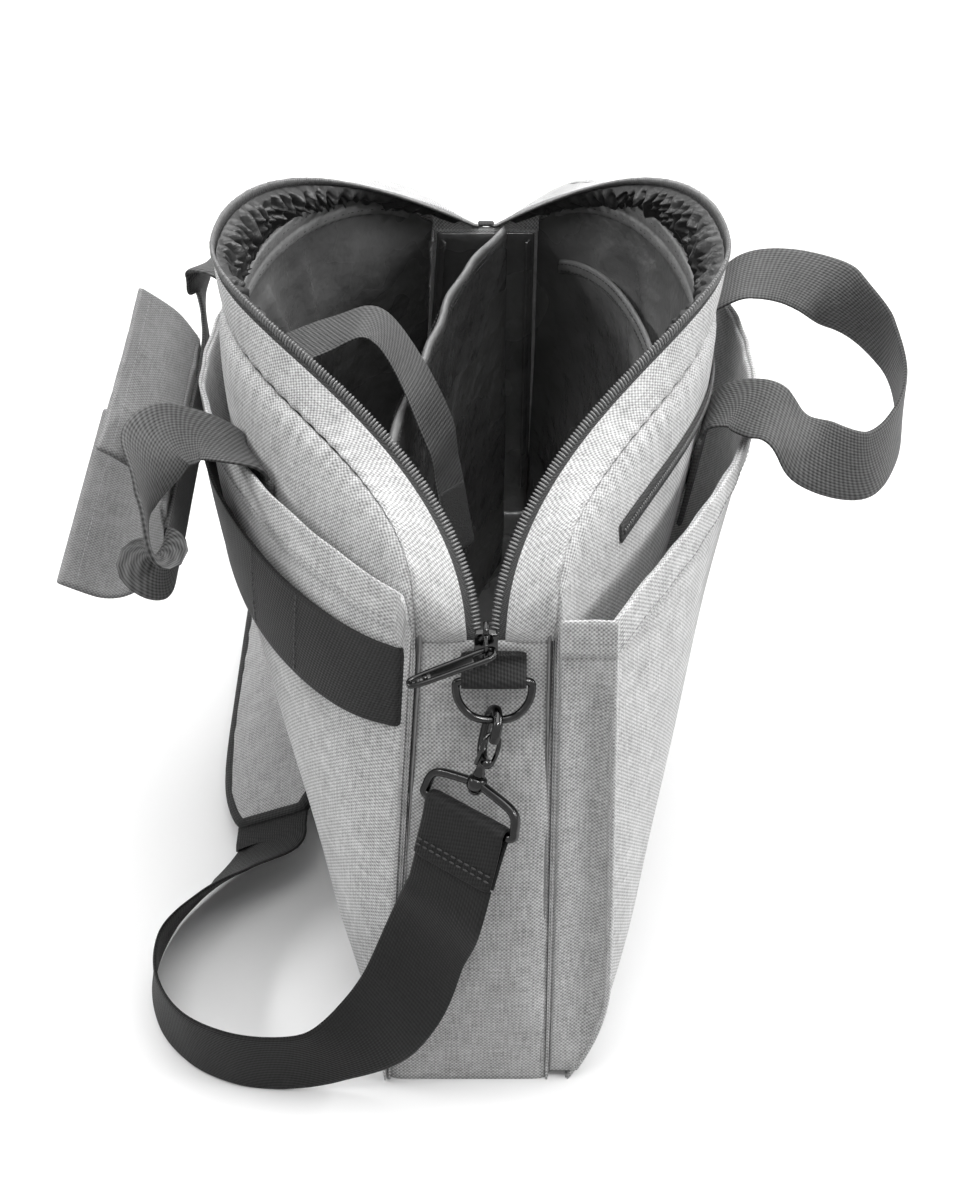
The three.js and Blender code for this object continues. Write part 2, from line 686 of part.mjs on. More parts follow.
const onEdge = [0, 0, 1];
const strapLevel = strapWidth / 2 + 0.2;
const padY = 105;
const padTilt = THREE.MathUtils.degToRad(22);
const padAcross = [0, Math.cos(padTilt), -Math.sin(padTilt)];
const padAcrossBack = padAcross.map((part) => -part);
const padLift = (padWidth / 2) * Math.sin(padTilt) + 5.2;
const padStart = -62;
const padEnd = padStart + padLength;
const fromEnd = (name, out, y, drop) => v3(out, y, barDrop + drop).applyMatrix4(endFrames[name]);
const acrossEnd = (name) => v3(0, 1, 0).transformDirection(endFrames[name]);
const strapSeam = -24.6;
const nearTop = fromEnd('near', 0, 0, strapSeam);
const farTop = fromEnd('far', 0, 0, strapSeam);
addPiece('strap_near_run', ribbon([
  { at: nearTop, across: acrossEnd('near') },
  { at: fromEnd('near', 0, 0, -40), across: acrossEnd('near') },
  station(-197, 24, 95, [0.55, 0.7, 0.25]),
  station(-203, 36, 62, [0.4, 0.5, 0.75]),
  station(-204, 52, 36, [0.2, 0.2, 0.95]),
  station(-205, 72, 23, onEdge),
  station(-205, 92, strapLevel, onEdge),
  station(-202, 112, strapLevel, onEdge),
  station(-192, 131, strapLevel, onEdge),
  station(-172, 146, strapLevel, [0.05, -0.05, 1]),
  station(-147, 150, strapLevel, [0.05, -0.2, 1]),
  station(-120, 140, strapLevel - 1, [0, -0.5, 0.85]),
  station(-98, 122, strapLevel - 2, [0, -0.75, 0.6]),
  station(padStart - 16, padY, padLift, padAcrossBack),
  station(padStart - 10, padY, padLift, padAcrossBack),
  station(padStart - 4, padY, padLift, padAcrossBack),
], strapWidth, strapFabric, 60), finish.webbing);
addPiece('strap_pad_run', ribbon([
  station(padStart - 3.6, padY, padLift, padAcross),
  station((padStart + padEnd) / 2, padY, padLift, padAcross),
  station(padEnd + 3.6, padY, padLift, padAcross),
], strapWidth, strapFabric, 8), finish.webbing);
const adjusterX = padEnd + 27;
addPiece('strap_far_run', ribbon([
  station(padEnd + 4, padY, padLift, padAcross),
  station(padEnd + 20, padY, padLift, padAcross),
  station(padEnd + 42, padY, padLift, padAcross),
  station(padEnd + 50, padY - 1, padLift + 0.5, padAcross),
  station(padEnd + 74, padY - 12, strapLevel - 2, [0, 0.4, -0.9]),
  station(padEnd + 90, padY - 40, strapLevel, [0, 0.1, -1]),
  station(padEnd + 92, padY - 70, strapLevel, [0, 0, -1]),
  station(246, 18, 30, [0.2, -0.2, -1]),
  station(226, 6, 62, [0.4, -0.55, -0.6]),
  station(206, 1, 92, [0.6, -0.7, -0.2]),
  { at: fromEnd('far', 0, 0, -40), across: acrossEnd('far').negate() },
  { at: farTop, across: acrossEnd('far').negate() },
], strapWidth, strapFabric, 52), finish.webbing);

// Tri-glide adjuster round the strap
const adjuster = () => {
  const outer = new THREE.BoxGeometry(26, strapWidth + 8, 4.6);
  const slot = new THREE.BoxGeometry(60, strapWidth + 1.4, strapFabric + 0.9);
  const window = new THREE.BoxGeometry(7.5, strapWidth + 1.4, 12);
  const first = window.clone().translate(-6.5, 0, 0);
  const second = window.clone().translate(6.5, 0, 0);
  const body = solidOf(outer).subtract(solidOf(slot)).subtract(solidOf(first)).subtract(solidOf(second));
  return geometryOf(body);
};
const adjusterMesh = addPiece('strap_adjuster', adjuster(), finish.nickel);
adjusterMesh.position.set(adjusterX, padY, padLift);
adjusterMesh.rotation.x = -padTilt;

// Shoulder pad: a padded face and a flat backing, with the strap between them
const padLayer = (low, high, crown) => {
  const rings = [];
  const steps = 16;
  const across = v3(...padAcross);
  const up = new THREE.Vector3().crossVectors(v3(1, 0, 0), across);
  for (let i = 0; i <= steps; i += 1) {
    const share = (2 * i) / steps - 1;
    const x = lerp(padStart, padEnd, i / steps);
    const half = (padWidth / 2) * (0.6 + 0.4 * (1 - Math.abs(share) ** 6));
    const centre = v3(x, padY, padLift);
    const corner = (s, h) => centre.clone().addScaledVector(across, s * half).addScaledVector(up, h);
    const swell = crown * (1 - share ** 4);
    rings.push([
      corner(-1, low), corner(-0.5, low), corner(0, low), corner(0.5, low), corner(1, low),
      corner(1, high), corner(0.5, high + swell), corner(0, high + swell), corner(-0.5, high + swell), corner(-1, high),
    ]);
  }
  return loft(rings);
};
const strapHalf = strapFabric / 2 + 0.3;
addPiece('shoulder_pad', padLayer(strapHalf, strapHalf + 2, 4), finish.darkHeather);
addPiece('shoulder_pad_backing', padLayer(-strapHalf - 1.6, -strapHalf, 0), finish.tape);

// Handles of webbing; the sewn legs lie against the panels

const legLow = 0.7;
const legHigh = { front: 0.86, back: 0.87 };
const legOut = 1.2;
const onWall = (side, x, v) => wallPoint(side, x / lerp(baseHalfLength, topHalfLength, v), v).setX(x);
const legPoint = (side, x, v, out) => {
  const lean = onWall(side, x, v + 0.02).sub(onWall(side, x, v - 0.02));
  const away = v3(0, lean.z, -lean.y).normalize().multiplyScalar(side.sign);
  return onWall(side, x, v).addScaledVector(away, out);
};
const highOf = (side) => (side === front ? legHigh.front : legHigh.back);
const handleLeg = (side, x) => {
  const half = handleWidth / 2;
  return loft(shares(4).map((share) => {
    const v = lerp(legLow, highOf(side), share);
    return [
      legPoint(side, x - half, v, legOut), legPoint(side, x + half, v, legOut),
      legPoint(side, x + half, v, legOut + handleFabric), legPoint(side, x - half, v, legOut + handleFabric),
    ];
  }));
};
// The handle goes on straight from the top of its leg
const legTop = (side, x, rise, away = 0) => {
  const half = handleWidth / 2;
  const point = (at, out) => legPoint(side, at, highOf(side), out);
  const middle = legOut + handleFabric / 2;
  const across = point(x + half, middle).sub(point(x - half, middle)).normalize();
  const face = point(x, 1).sub(point(x, 0));
  const up = face.clone().cross(across).normalize();
  up.multiplyScalar(Math.sign(up.z));
  return { at: point(x, middle).addScaledVector(up, rise).addScaledVector(face, away), across };
};
const frontLegs = [-34, 50];
const backLegs = [-66, 58];
for (const [name, side, x] of [
  ['front_handle_near_leg', front, frontLegs[0]], ['front_handle_far_leg', front, frontLegs[1]],
  ['back_handle_near_leg', back, backLegs[0]], ['back_handle_far_leg', back, backLegs[1]],
]) {
  addPiece(name, handleLeg(side, x), finish.webbing);
}

addPiece('front_handle', ribbon([
  legTop(front, frontLegs[0], 0.5),
  legTop(front, frontLegs[0], 1.2),
  legTop(front, frontLegs[0], 6, 1.7),
  station(-37, -107, 248.5, [1, 0, 0.1]),
  station(-47, -119, 249, [0.9, 0.35, 0.3]),
  station(-58, -137, 238, [0.5, 0.5, 0.7]),
  station(-57, -158, 231, [0.2, 0.2, 1]),
  station(-36, -174, 231, [0.3, 0, 1]),
  station(-8, -181, 235, [0.4, 0, 1]),
  station(22, -178, 241, [0.5, 0.2, 1]),
  station(43, -163, 248, [0.5, 0.4, 0.8]),
  station(52, -140, 255, [0.9, 0.1, 0.5]),
  station(52, -119, 256, [1, 0, 0.2]),
  station(51, -107, 250, [1, 0, 0]),
  legTop(front, frontLegs[1], 6, 1.7),
  legTop(front, frontLegs[1], 1.2),
  legTop(front, frontLegs[1], 0.5),
], handleWidth, handleFabric, 52), finish.webbing);

const gripX = -30;
const gripHeight = 217;
const gripOut = 128;
const flipped = ({ at, across }) => ({ at, across: across.negate() });
addPiece('back_handle', ribbon([
  legTop(back, backLegs[0], 1, 0.2),
  legTop(back, backLegs[0], 1.7, 0.25),
  legTop(back, backLegs[0], 5, 3.2),
  station(-66, 119, 254, [1, 0, 0.1]),
  station(-78, 130, 259, [0.8, 0.2, 0.4]),
  station(-102, 134, 248, [0.4, 0, 0.9]),
  station(-114, 132, 230, [-0.2, 0, 1]),
  station(-104, gripOut + 0.5, 218, [0, 0, 1]),
  station(gripX - wrapLength / 2, gripOut, gripHeight, [0, 0, 1]),
  station(gripX, gripOut, gripHeight, [0, 0, 1]),
  station(gripX + wrapLength / 2, gripOut, gripHeight + 3, [0, 0, 1]),
  station(52, gripOut + 2, 226, [-0.2, 0, 1]),
  station(68, 133, 240, [-0.5, 0, 0.9]),
  station(66, 128, 254, [-0.9, 0, 0.4]),
  station(58, 118, 256, [-1, 0, 0.1]),
  flipped(legTop(back, backLegs[1], 5, 3.2)),
  flipped(legTop(back, backLegs[1], 1.7, 0.25)),
  flipped(legTop(back, backLegs[1], 1, 0.2)),
], handleWidth, handleFabric, 60), finish.webbing);

// Grip wrap, opened: a core outside the webbing and two flaps with a fold each
const gripBox = (profile, x0, x1) => {
  const ring = (x) => profile.map(([y, z]) => v3(x, y, z));
  return loft([ring(x0), ring((x0 + x1) / 2), ring(x1)]);
};
const wrapInner = gripOut + handleFabric / 2 + 0.35;
const wrapX0 = gripX - wrapLength / 2;
const wrapX1 = gripX + wrapLength / 2;
const coreHalf = 16;
const wrapStrip = (line, x0 = wrapX0, x1 = wrapX1) => {
  const outer = line.map(([y, z]) => [y, z]);
  const normals = line.map((_, i) => {
    const a = line[Math.max(i - 1, 0)];
    const b = line[Math.min(i + 1, line.length - 1)];
    const length = Math.hypot(b[0] - a[0], b[1] - a[1]);
    return [-(b[1] - a[1]) / length, (b[0] - a[0]) / length];
  });
  const inner = outer.map(([y, z], i) => [y + normals[i][0] * wrapFabric, z + normals[i][1] * wrapFabric]);
  return gripBox([...outer, ...inner.reverse()], x0, x1);
};
addPiece('grip_wrap', wrapStrip([
  [wrapInner + wrapFabric, gripHeight - coreHalf + 1], [wrapInner + wrapFabric, gripHeight],
  [wrapInner + wrapFabric, gripHeight + coreHalf + 3],
]), finish.darkHeather);
addPiece('grip_flap_upper', wrapStrip([
  [wrapInner + wrapFabric + 0.4, gripHeight + coreHalf + 3.6],
  [wrapInner + 10, gripHeight + coreHalf + 16],
  [wrapInner + 24, gripHeight + coreHalf + 27],
], wrapX0 + 6, wrapX1), finish.darkHeather);
addPiece('grip_flap_lower', wrapStrip([
  [wrapInner + wrapFabric + 0.4, gripHeight - coreHalf + 0.4],
  [wrapInner + 26, gripHeight - coreHalf - 14],
  [wrapInner + 48, gripHeight - coreHalf - 6],
]), finish.darkHeather);

export default bag;
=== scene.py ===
# Laptop bag of heather fabric, standing open, with its handles, shoulder strap and pockets.
# Lengths are in millimetres and become metres when a mesh is made. X runs along the bag, +Z up.
# k runs from -1 at the near end to 1 at the far end; v runs from 0 at the base over 1 at the
# seam of the zip band to 2 at the zip teeth.

import math

import bpy
import numpy as np
from mathutils import Matrix, Vector, noise


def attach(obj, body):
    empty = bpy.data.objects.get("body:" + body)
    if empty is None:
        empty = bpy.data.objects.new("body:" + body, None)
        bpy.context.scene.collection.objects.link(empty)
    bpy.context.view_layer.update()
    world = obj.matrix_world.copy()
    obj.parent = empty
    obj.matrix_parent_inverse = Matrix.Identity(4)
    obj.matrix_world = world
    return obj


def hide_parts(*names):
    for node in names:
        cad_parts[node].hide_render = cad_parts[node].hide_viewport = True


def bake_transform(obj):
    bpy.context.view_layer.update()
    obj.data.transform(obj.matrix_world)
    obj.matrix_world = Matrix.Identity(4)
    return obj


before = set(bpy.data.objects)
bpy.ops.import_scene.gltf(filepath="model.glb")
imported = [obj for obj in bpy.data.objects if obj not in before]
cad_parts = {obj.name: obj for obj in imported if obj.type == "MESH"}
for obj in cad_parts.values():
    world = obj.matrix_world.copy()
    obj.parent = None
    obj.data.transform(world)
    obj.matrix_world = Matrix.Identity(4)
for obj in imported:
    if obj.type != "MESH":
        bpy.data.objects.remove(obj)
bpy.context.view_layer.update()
scene = bpy.context.scene
print("frame loaded", len(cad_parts), "nodes")


# Camera

camera = {
    "place": (-0.663, 0.0, 0.692),
    "down": 41.26,              # degrees below level
    "focal": 1820,              # pixels, at the picture's width of 960
    "width": 960,
    "middle": 486,              # where the bag's mid-plane stands in the picture
}


def makeCamera():
    data = bpy.data.cameras.new("photoCamera")
    data.sensor_fit = "HORIZONTAL"
    data.sensor_width = 36
    data.lens = camera["focal"] / camera["width"] * 36
    data.shift_x = (camera["width"] / 2 - camera["middle"]) / camera["width"]
    data.clip_start = 0.01
    data.clip_end = 20
    obj = bpy.data.objects.new("photoCamera", data)
    obj.location = camera["place"]
    obj.rotation_euler = (math.radians(90 - camera["down"]), 0, math.radians(-90))
    scene.collection.objects.link(obj)
    scene.camera = obj


makeCamera()
scene.view_settings.view_transform = "Standard"


# Shader kit

class Value:
    def __init__(self, shader, socket):
        self.shader = shader
        self.socket = socket

    def maths(self, operation, *numbers):
        return self.shader.node("ShaderNodeMath", {"operation": operation}, dict(enumerate(numbers)))

    def __add__(self, other):
        return self.maths("ADD", self, other)

    def __radd__(self, other):
        return self.maths("ADD", other, self)

    def __sub__(self, other):
        return self.maths("SUBTRACT", self, other)

    def __rsub__(self, other):
        return self.maths("SUBTRACT", other, self)

    def __mul__(self, other):
        return self.maths("MULTIPLY", self, other)

    def __rmul__(self, other):
        return self.maths("MULTIPLY", other, self)

    def __pow__(self, other):
        return self.maths("POWER", self, other)

    def __abs__(self):
        return self.maths("ABSOLUTE", self)

    def sine(self):
        return self.maths("SINE", self)

    def clamped(self):
        return self.shader.node("ShaderNodeClamp", {}, {"Value": self})


class Shader:
    def __init__(self, name):
        self.material = bpy.data.materials.new(name)
        self.material.use_nodes = True
        self.tree = self.material.node_tree
        self.tree.nodes.clear()

    def node(self, kind, settings=None, inputs=None, output=0):
        made = self.tree.nodes.new(kind)
        for key, value in (settings or {}).items():
            setattr(made, key, value)
        for key, value in (inputs or {}).items():
            if isinstance(value, Value):
                self.tree.links.new(value.socket, made.inputs[key])
            else:
                made.inputs[key].default_value = value
        return Value(self, made.outputs[output] if len(made.outputs) else None)

    def cloth(self):
        place = self.node("ShaderNodeUVMap", {"uv_map": "cloth"})
        parts = self.node("ShaderNodeSeparateXYZ", {}, {"Vector": place})
        across = Value(self, parts.socket.node.outputs["X"]) * 1000
        along = Value(self, parts.socket.node.outputs["Y"]) * 1000
        return place, across, along

    def place(self):
        made = self.node("ShaderNodeTexCoord")
        return Value(self, made.socket.node.outputs["Object"])

    def stretched(self, vector, scale):
        return self.node("ShaderNodeMapping", {}, {"Vector": vector, "Scale": scale})

    def noise(self, vector, scale, detail=2.0):
        return self.node("ShaderNodeTexNoise", {}, {"Vector": vector, "Scale": scale, "Detail": detail})

    def blend(self, factor, low, high):
        made = self.node("ShaderNodeMix", {"data_type": "RGBA"}, {0: factor, 6: low, 7: high}, 2)
        return made

    def bump(self, height, strength, distance, under=None):
        inputs = {"Height": height, "Strength": strength, "Distance": distance}
        if under is not None:
            inputs["Normal"] = under
        return self.node("ShaderNodeBump", {}, inputs)

    def surface(self, inputs):
        body = self.node("ShaderNodeBsdfPrincipled", {}, inputs)
        self.node("ShaderNodeOutputMaterial", {}, {"Surface": body})
        return self.material


def grey(level):
    return (level, level, level, 1)


# Materials

heather = {
    "pitch": 0.9,               # millimetres between crossings of the yarns
    "dark": 0.20,
    "light": 0.86,
    "slub": 0.34,               # how much single yarns differ
}


def heatherMaterial(name, dark, light, pitch=heather["pitch"]):
    shader = Shader(name)
    place, across, along = shader.cloth()
    cells = (across * (math.pi / pitch)).sine() * (along * (math.pi / pitch)).sine()
    warp = shader.noise(shader.stretched(place, (1100 / pitch, 90 / pitch, 1)), 1.0, 1.0)
    weft = shader.noise(shader.stretched(place, (90 / pitch, 1100 / pitch, 1)), 1.0, 1.0)
    broad = shader.noise(place, 55.0, 3.0)
    yarn = (warp - 0.5) + (weft - 0.5)
    tone = 0.5 + 0.43 * cells + heather["slub"] * 2 * yarn + 0.35 * (broad - 0.5)
    colour = shader.blend(tone.clamped(), grey(dark), grey(light))
    height = abs(cells) ** 0.6 + 0.5 * yarn
    normal = shader.bump(height, 0.22, 0.0004)
    return shader.surface({
        "Base Color": colour, "Roughness": 0.92, "Specular IOR Level": 0.25, "Normal": normal,
        "Sheen Weight": 0.25, "Sheen Roughness": 0.5,
    })


def webbingMaterial(name, dark, light, rib=1.25, roughness=0.62):
    shader = Shader(name)
    place, across, along = shader.cloth()
    ribs = abs((across * (math.pi / rib)).sine())
    picks = (along * (math.pi / 0.9) + across * (math.pi / (2 * rib))).sine()
    fleck = shader.noise(shader.stretched(place, (900, 260, 1)), 1.0, 2.0)
    worn = shader.noise(place, 38.0, 3.0)
    tone = 0.15 + 0.5 * ribs + 0.18 * picks + 0.45 * (fleck - 0.5) + 0.3 * (worn - 0.5)
    colour = shader.blend(tone.clamped(), grey(dark), grey(light))
    normal = shader.bump(ribs + 0.35 * picks, 0.5, 0.00035)
    return shader.surface({
        "Base Color": colour, "Roughness": roughness, "Specular IOR Level": 0.17, "Normal": normal,
        "Sheen Weight": 0.04, "Sheen Roughness": 0.4,
    })


def liningMaterial(name, dark, light, roughness, gloss=0.9):
    shader = Shader(name)
    _, across, along = shader.cloth()
    weave = (across * (math.pi / 0.6)).sine() * (along * (math.pi / 0.6)).sine()
    crease = shader.noise(shader.place(), 70.0, 4.0)
    # sheenCloud is a painted highlight: its lighter patches in the colour stand for broad soft sheen on the
    # nylon; it also varies the roughness
    sheenCloud = shader.noise(shader.place(), 16.0, 3.0)
    colour = shader.blend((0.5 + 1.4 * (sheenCloud - 0.5)).clamped(), grey(dark), grey(light))
    fine = shader.bump(weave, 0.12, 0.0002)
    normal = shader.bump(crease, 0.6, 0.004, fine)
    rough = roughness + 0.16 * (sheenCloud - 0.5)
    return shader.surface({
        "Base Color": colour, "Roughness": rough, "Specular IOR Level": gloss, "Normal": normal,
    })


def nickelMaterial(name):
    shader = Shader(name)
    mottle = shader.noise(shader.place(), 260.0, 4.0)
    scuff = shader.noise(shader.stretched(shader.place(), (300, 300, 2600)), 1.0, 3.0)
    colour = shader.blend(mottle, grey(0.025), grey(0.05))
    rough = 0.12 + 0.12 * scuff
    normal = shader.bump(scuff, 0.05, 0.0004)
    return shader.surface({
        "Base Color": colour, "Roughness": rough, "Metallic": 1.0, "Normal": normal,
    })


def coilMaterial(name):
    shader = Shader(name)
    mottle = shader.noise(shader.place(), 420.0, 2.0)
    colour = shader.blend(mottle, grey(0.08), grey(0.24))
    return shader.surface({
        "Base Color": colour, "Roughness": 0.26 + 0.12 * mottle, "Specular IOR Level": 0.7,
    })


def threadMaterial(name, level):
    shader = Shader(name)
    twist = shader.noise(shader.place(), 2200.0, 2.0)
    colour = shader.blend(twist, grey(level * 0.6), grey(level * 1.3))
    return shader.surface({
        "Base Color": colour, "Roughness": 0.7, "Normal": shader.bump(twist, 0.4, 0.0002),
    })


def hookAndLoopMaterial(name):
    shader = Shader(name)
    pile = shader.noise(shader.place(), 1500.0, 3.0)
    colour = shader.blend(pile, grey(0.015), grey(0.06))
    return shader.surface({
        "Base Color": colour, "Roughness": 0.95, "Normal": shader.bump(pile, 1.0, 0.0012),
    })


look = {
    "heather": heatherMaterial("heatherFabric", heather["dark"], heather["light"]),
    "wrap": heatherMaterial("gripFabric", 0.10, 0.30, 0.9),
    "padFace": heatherMaterial("padFabric", 0.17, 0.52, 0.9),
    "strap": webbingMaterial("strapWebbing", 0.003, 0.019),
    "handle": webbingMaterial("handleWebbing", 0.025, 0.17),
    "band": webbingMaterial("bandWebbing", 0.005, 0.036),
    # The lining and edge binding are brightened well above the nylon's own near-black, as painted light for
    # the shaded inside of the bag; the ruffled nylon by the mouth is the same nylon kept dark, so the two
    # are lit and shaded copies of one material
    "lining": liningMaterial("liningNylonPaintedLight", 0.07, 0.19, 0.27),
    "ruffle": liningMaterial("ruffledNylon", 0.012, 0.04, 0.34, 0.5),
    # The seam band is the lining's own nylon, painted lighter still as a painted sheen on the bias band
    "seamBand": liningMaterial("seamBandNylonPaintedSheen", 0.17, 0.30, 0.42),
    "binding": liningMaterial("edgeBindingPaintedLight", 0.10, 0.24, 0.45),
    "padEdge": webbingMaterial("padBinding", 0.008, 0.035, 1.0),
    "tape": webbingMaterial("zipTape", 0.03, 0.10, 0.8, 0.75),
    "coil": coilMaterial("zipCoil"),
    "nickel": nickelMaterial("blackNickel"),
    "darkThread": threadMaterial("darkThread", 0.03),
    "greyThread": threadMaterial("greyThread", 0.30),
    "bandThread": threadMaterial("bandThread", 0.10),
    "pile": hookAndLoopMaterial("hookAndLoop"),
}


# Floor, world and lamps

light = {
    "sky": 0.25,
    "top": 36.0,
    "left": 15.0,
    "right": 26.0,
    "back": 18.0,
    "key": 14.0,                # seen in gloss alone
    "bounce": 0.5,              # share of light that the floor sends back up
    "fade": (0.9, 0.7),         # where the floor begins to turn plain white, and how far that takes
}


def makeStage():
    world = bpy.data.worlds.new("studio")
    scene.world = world
    world.use_nodes = True
    tree = world.node_tree
    tree.nodes.clear()
    path = tree.nodes.new("ShaderNodeLightPath")
    seen = tree.nodes.new("ShaderNodeMath")
    seen.operation = "MAXIMUM"
    both = tree.nodes.new("ShaderNodeMath")
    both.operation = "MAXIMUM"
    tree.links.new(path.outputs["Is Camera Ray"], seen.inputs[0])
    tree.links.new(path.outputs["Is Glossy Ray"], seen.inputs[1])
    tree.links.new(seen.outputs[0], both.inputs[0])
    tree.links.new(path.outputs["Is Transmission Ray"], both.inputs[1])
    soft = tree.nodes.new("ShaderNodeBackground")
    soft.inputs["Strength"].default_value = light["sky"]
    white = tree.nodes.new("ShaderNodeBackground")
    white.inputs["Strength"].default_value = 1.0
    for one in (soft, white):
        one.inputs["Color"].default_value = (1, 1, 1, 1)
    mix = tree.nodes.new("ShaderNodeMixShader")
    tree.links.new(both.outputs[0], mix.inputs[0])
    tree.links.new(soft.outputs[0], mix.inputs[1])
    tree.links.new(white.outputs[0], mix.inputs[2])
    end = tree.nodes.new("ShaderNodeOutputWorld")
    tree.links.new(mix.outputs[0], end.inputs["Surface"])

    shader = Shader("paleFloor")
    grain = shader.noise(shader.place(), 3.0, 2.0)
    matt = {"Roughness": 0.9, "Specular IOR Level": 0.1}
    pale = shader.blend(grain, grey(0.92), grey(0.94))
    shown = shader.node("ShaderNodeBsdfPrincipled", {}, {"Base Color": pale, **matt})
    given = shader.node("ShaderNodeBsdfPrincipled", {}, {"Base Color": grey(light["bounce"]), **matt})
    plain = shader.node("ShaderNodeEmission", {}, {"Color": (1, 1, 1, 1), "Strength": 1.0})
    rays = shader.node("ShaderNodeLightPath").socket.node.outputs
    seen = Value(shader, rays["Is Camera Ray"]) + Value(shader, rays["Is Glossy Ray"])
    seen = (seen + Value(shader, rays["Is Transmission Ray"])).clamped()
    away = shader.node("ShaderNodeVectorMath", {"operation": "LENGTH"}, {0: shader.place()}, 1)
    begin, reach = light["fade"]
    far = ((away - begin) * (1 / reach)).clamped()
    near = shader.node("ShaderNodeMixShader", {}, {0: far, 1: shown, 2: plain})
    both = shader.node("ShaderNodeMixShader", {}, {0: seen, 1: given, 2: near})
    shader.node("ShaderNodeOutputMaterial", {}, {"Surface": both})
    mesh = bpy.data.meshes.new("floor")
    mesh.from_pydata([(-6, -6, 0), (6, -6, 0), (6, 6, 0), (-6, 6, 0)], [], [(0, 1, 2, 3)])
    mesh.materials.append(shader.material)
    floor = bpy.data.objects.new("floor", mesh)
    scene.collection.objects.link(floor)

    for name, place, aim, size, depth, power in (
        ("topLamp", (0.1, 0.0, 2.0), (0.05, 0.0, 0.2), 1.7, 1.7, light["top"]),
        ("leftLamp", (0.1, 1.6, 1.2), (0.0, 0.0, 0.15), 1.4, 0.14, light["left"]),
        ("rightLamp", (0.0, -1.6, 1.2), (0.0, 0.0, 0.2), 1.4, 0.18, light["right"]),
        ("backLamp", (1.5, 0.0, 1.7), (0.6, 0.0, 0.0), 1.3, 1.3, light["back"]),
        ("keyLamp", (-0.8, -0.35, 1.35), (-0.1, 0.0, 0.15), 0.5, 0.06, light["key"]),
    ):
        data = bpy.data.lights.new(name, "AREA")
        data.energy = power
        data.shape = "RECTANGLE"
        data.size = size
        data.size_y = depth
        lamp = bpy.data.objects.new(name, data)
        lamp.visible_diffuse = name != "keyLamp"
        lamp.location = place
        lamp.rotation_euler = (Vector(aim) - Vector(place)).to_track_quat("-Z", "Y").to_euler()
        scene.collection.objects.link(lamp)


makeStage()
print("camera, lamps and materials ready")


# Mesh making

def lerp(a, b, t):
    return a + (b - a) * t


def unit(vectors):
    size = np.linalg.norm(vectors, axis=-1, keepdims=True)
    return vectors / np.maximum(size, 1e-9)


def smooth(low, high, value):
    t = np.clip((value - low) / (high - low), 0, 1)
    return t * t * (3 - 2 * t)


def makeObject(name, points, faces, material, cloth=None):
    points = np.asarray(points, dtype=float).reshape(-1, 3)
    mesh = bpy.data.meshes.new(name)
    mesh.from_pydata((points / 1000).tolist(), [], faces)
    if cloth is not None:
        layer = mesh.uv_layers.new(name="cloth")
        corner = np.empty(len(mesh.loops), dtype=np.int32)
        mesh.loops.foreach_get("vertex_index", corner)
        layer.data.foreach_set("uv", (np.asarray(cloth).reshape(-1, 2)[corner] / 1000).ravel())
    mesh.shade_smooth()
    mesh.materials.append(material)
    obj = bpy.data.objects.new(name, mesh)
    scene.collection.objects.link(obj)
    return obj


def volumeOf(points, faces):
    quads = np.array([f if len(f) == 4 else (*f, f[2]) for f in faces])
    a, b, c, d = (points[quads[:, i]] for i in range(4))
    halves = np.einsum("ij,ij->i", a, np.cross(b, c)), np.einsum("ij,ij->i", a, np.cross(c, d))
    return (halves[0].sum() + halves[1].sum()) / 6


def outwards(points, faces):
    if volumeOf(points, faces) < 0:
        return [tuple(reversed(f)) for f in faces]
    return faces


def gridFaces(index):
    a, b, c, d = index[:-1, :-1], index[:-1, 1:], index[1:, 1:], index[1:, :-1]
    return np.stack([a, b, c, d], axis=-1).reshape(-1, 4).tolist()


def beyond(first, second, reach):
    return first + unit(first - second) * reach


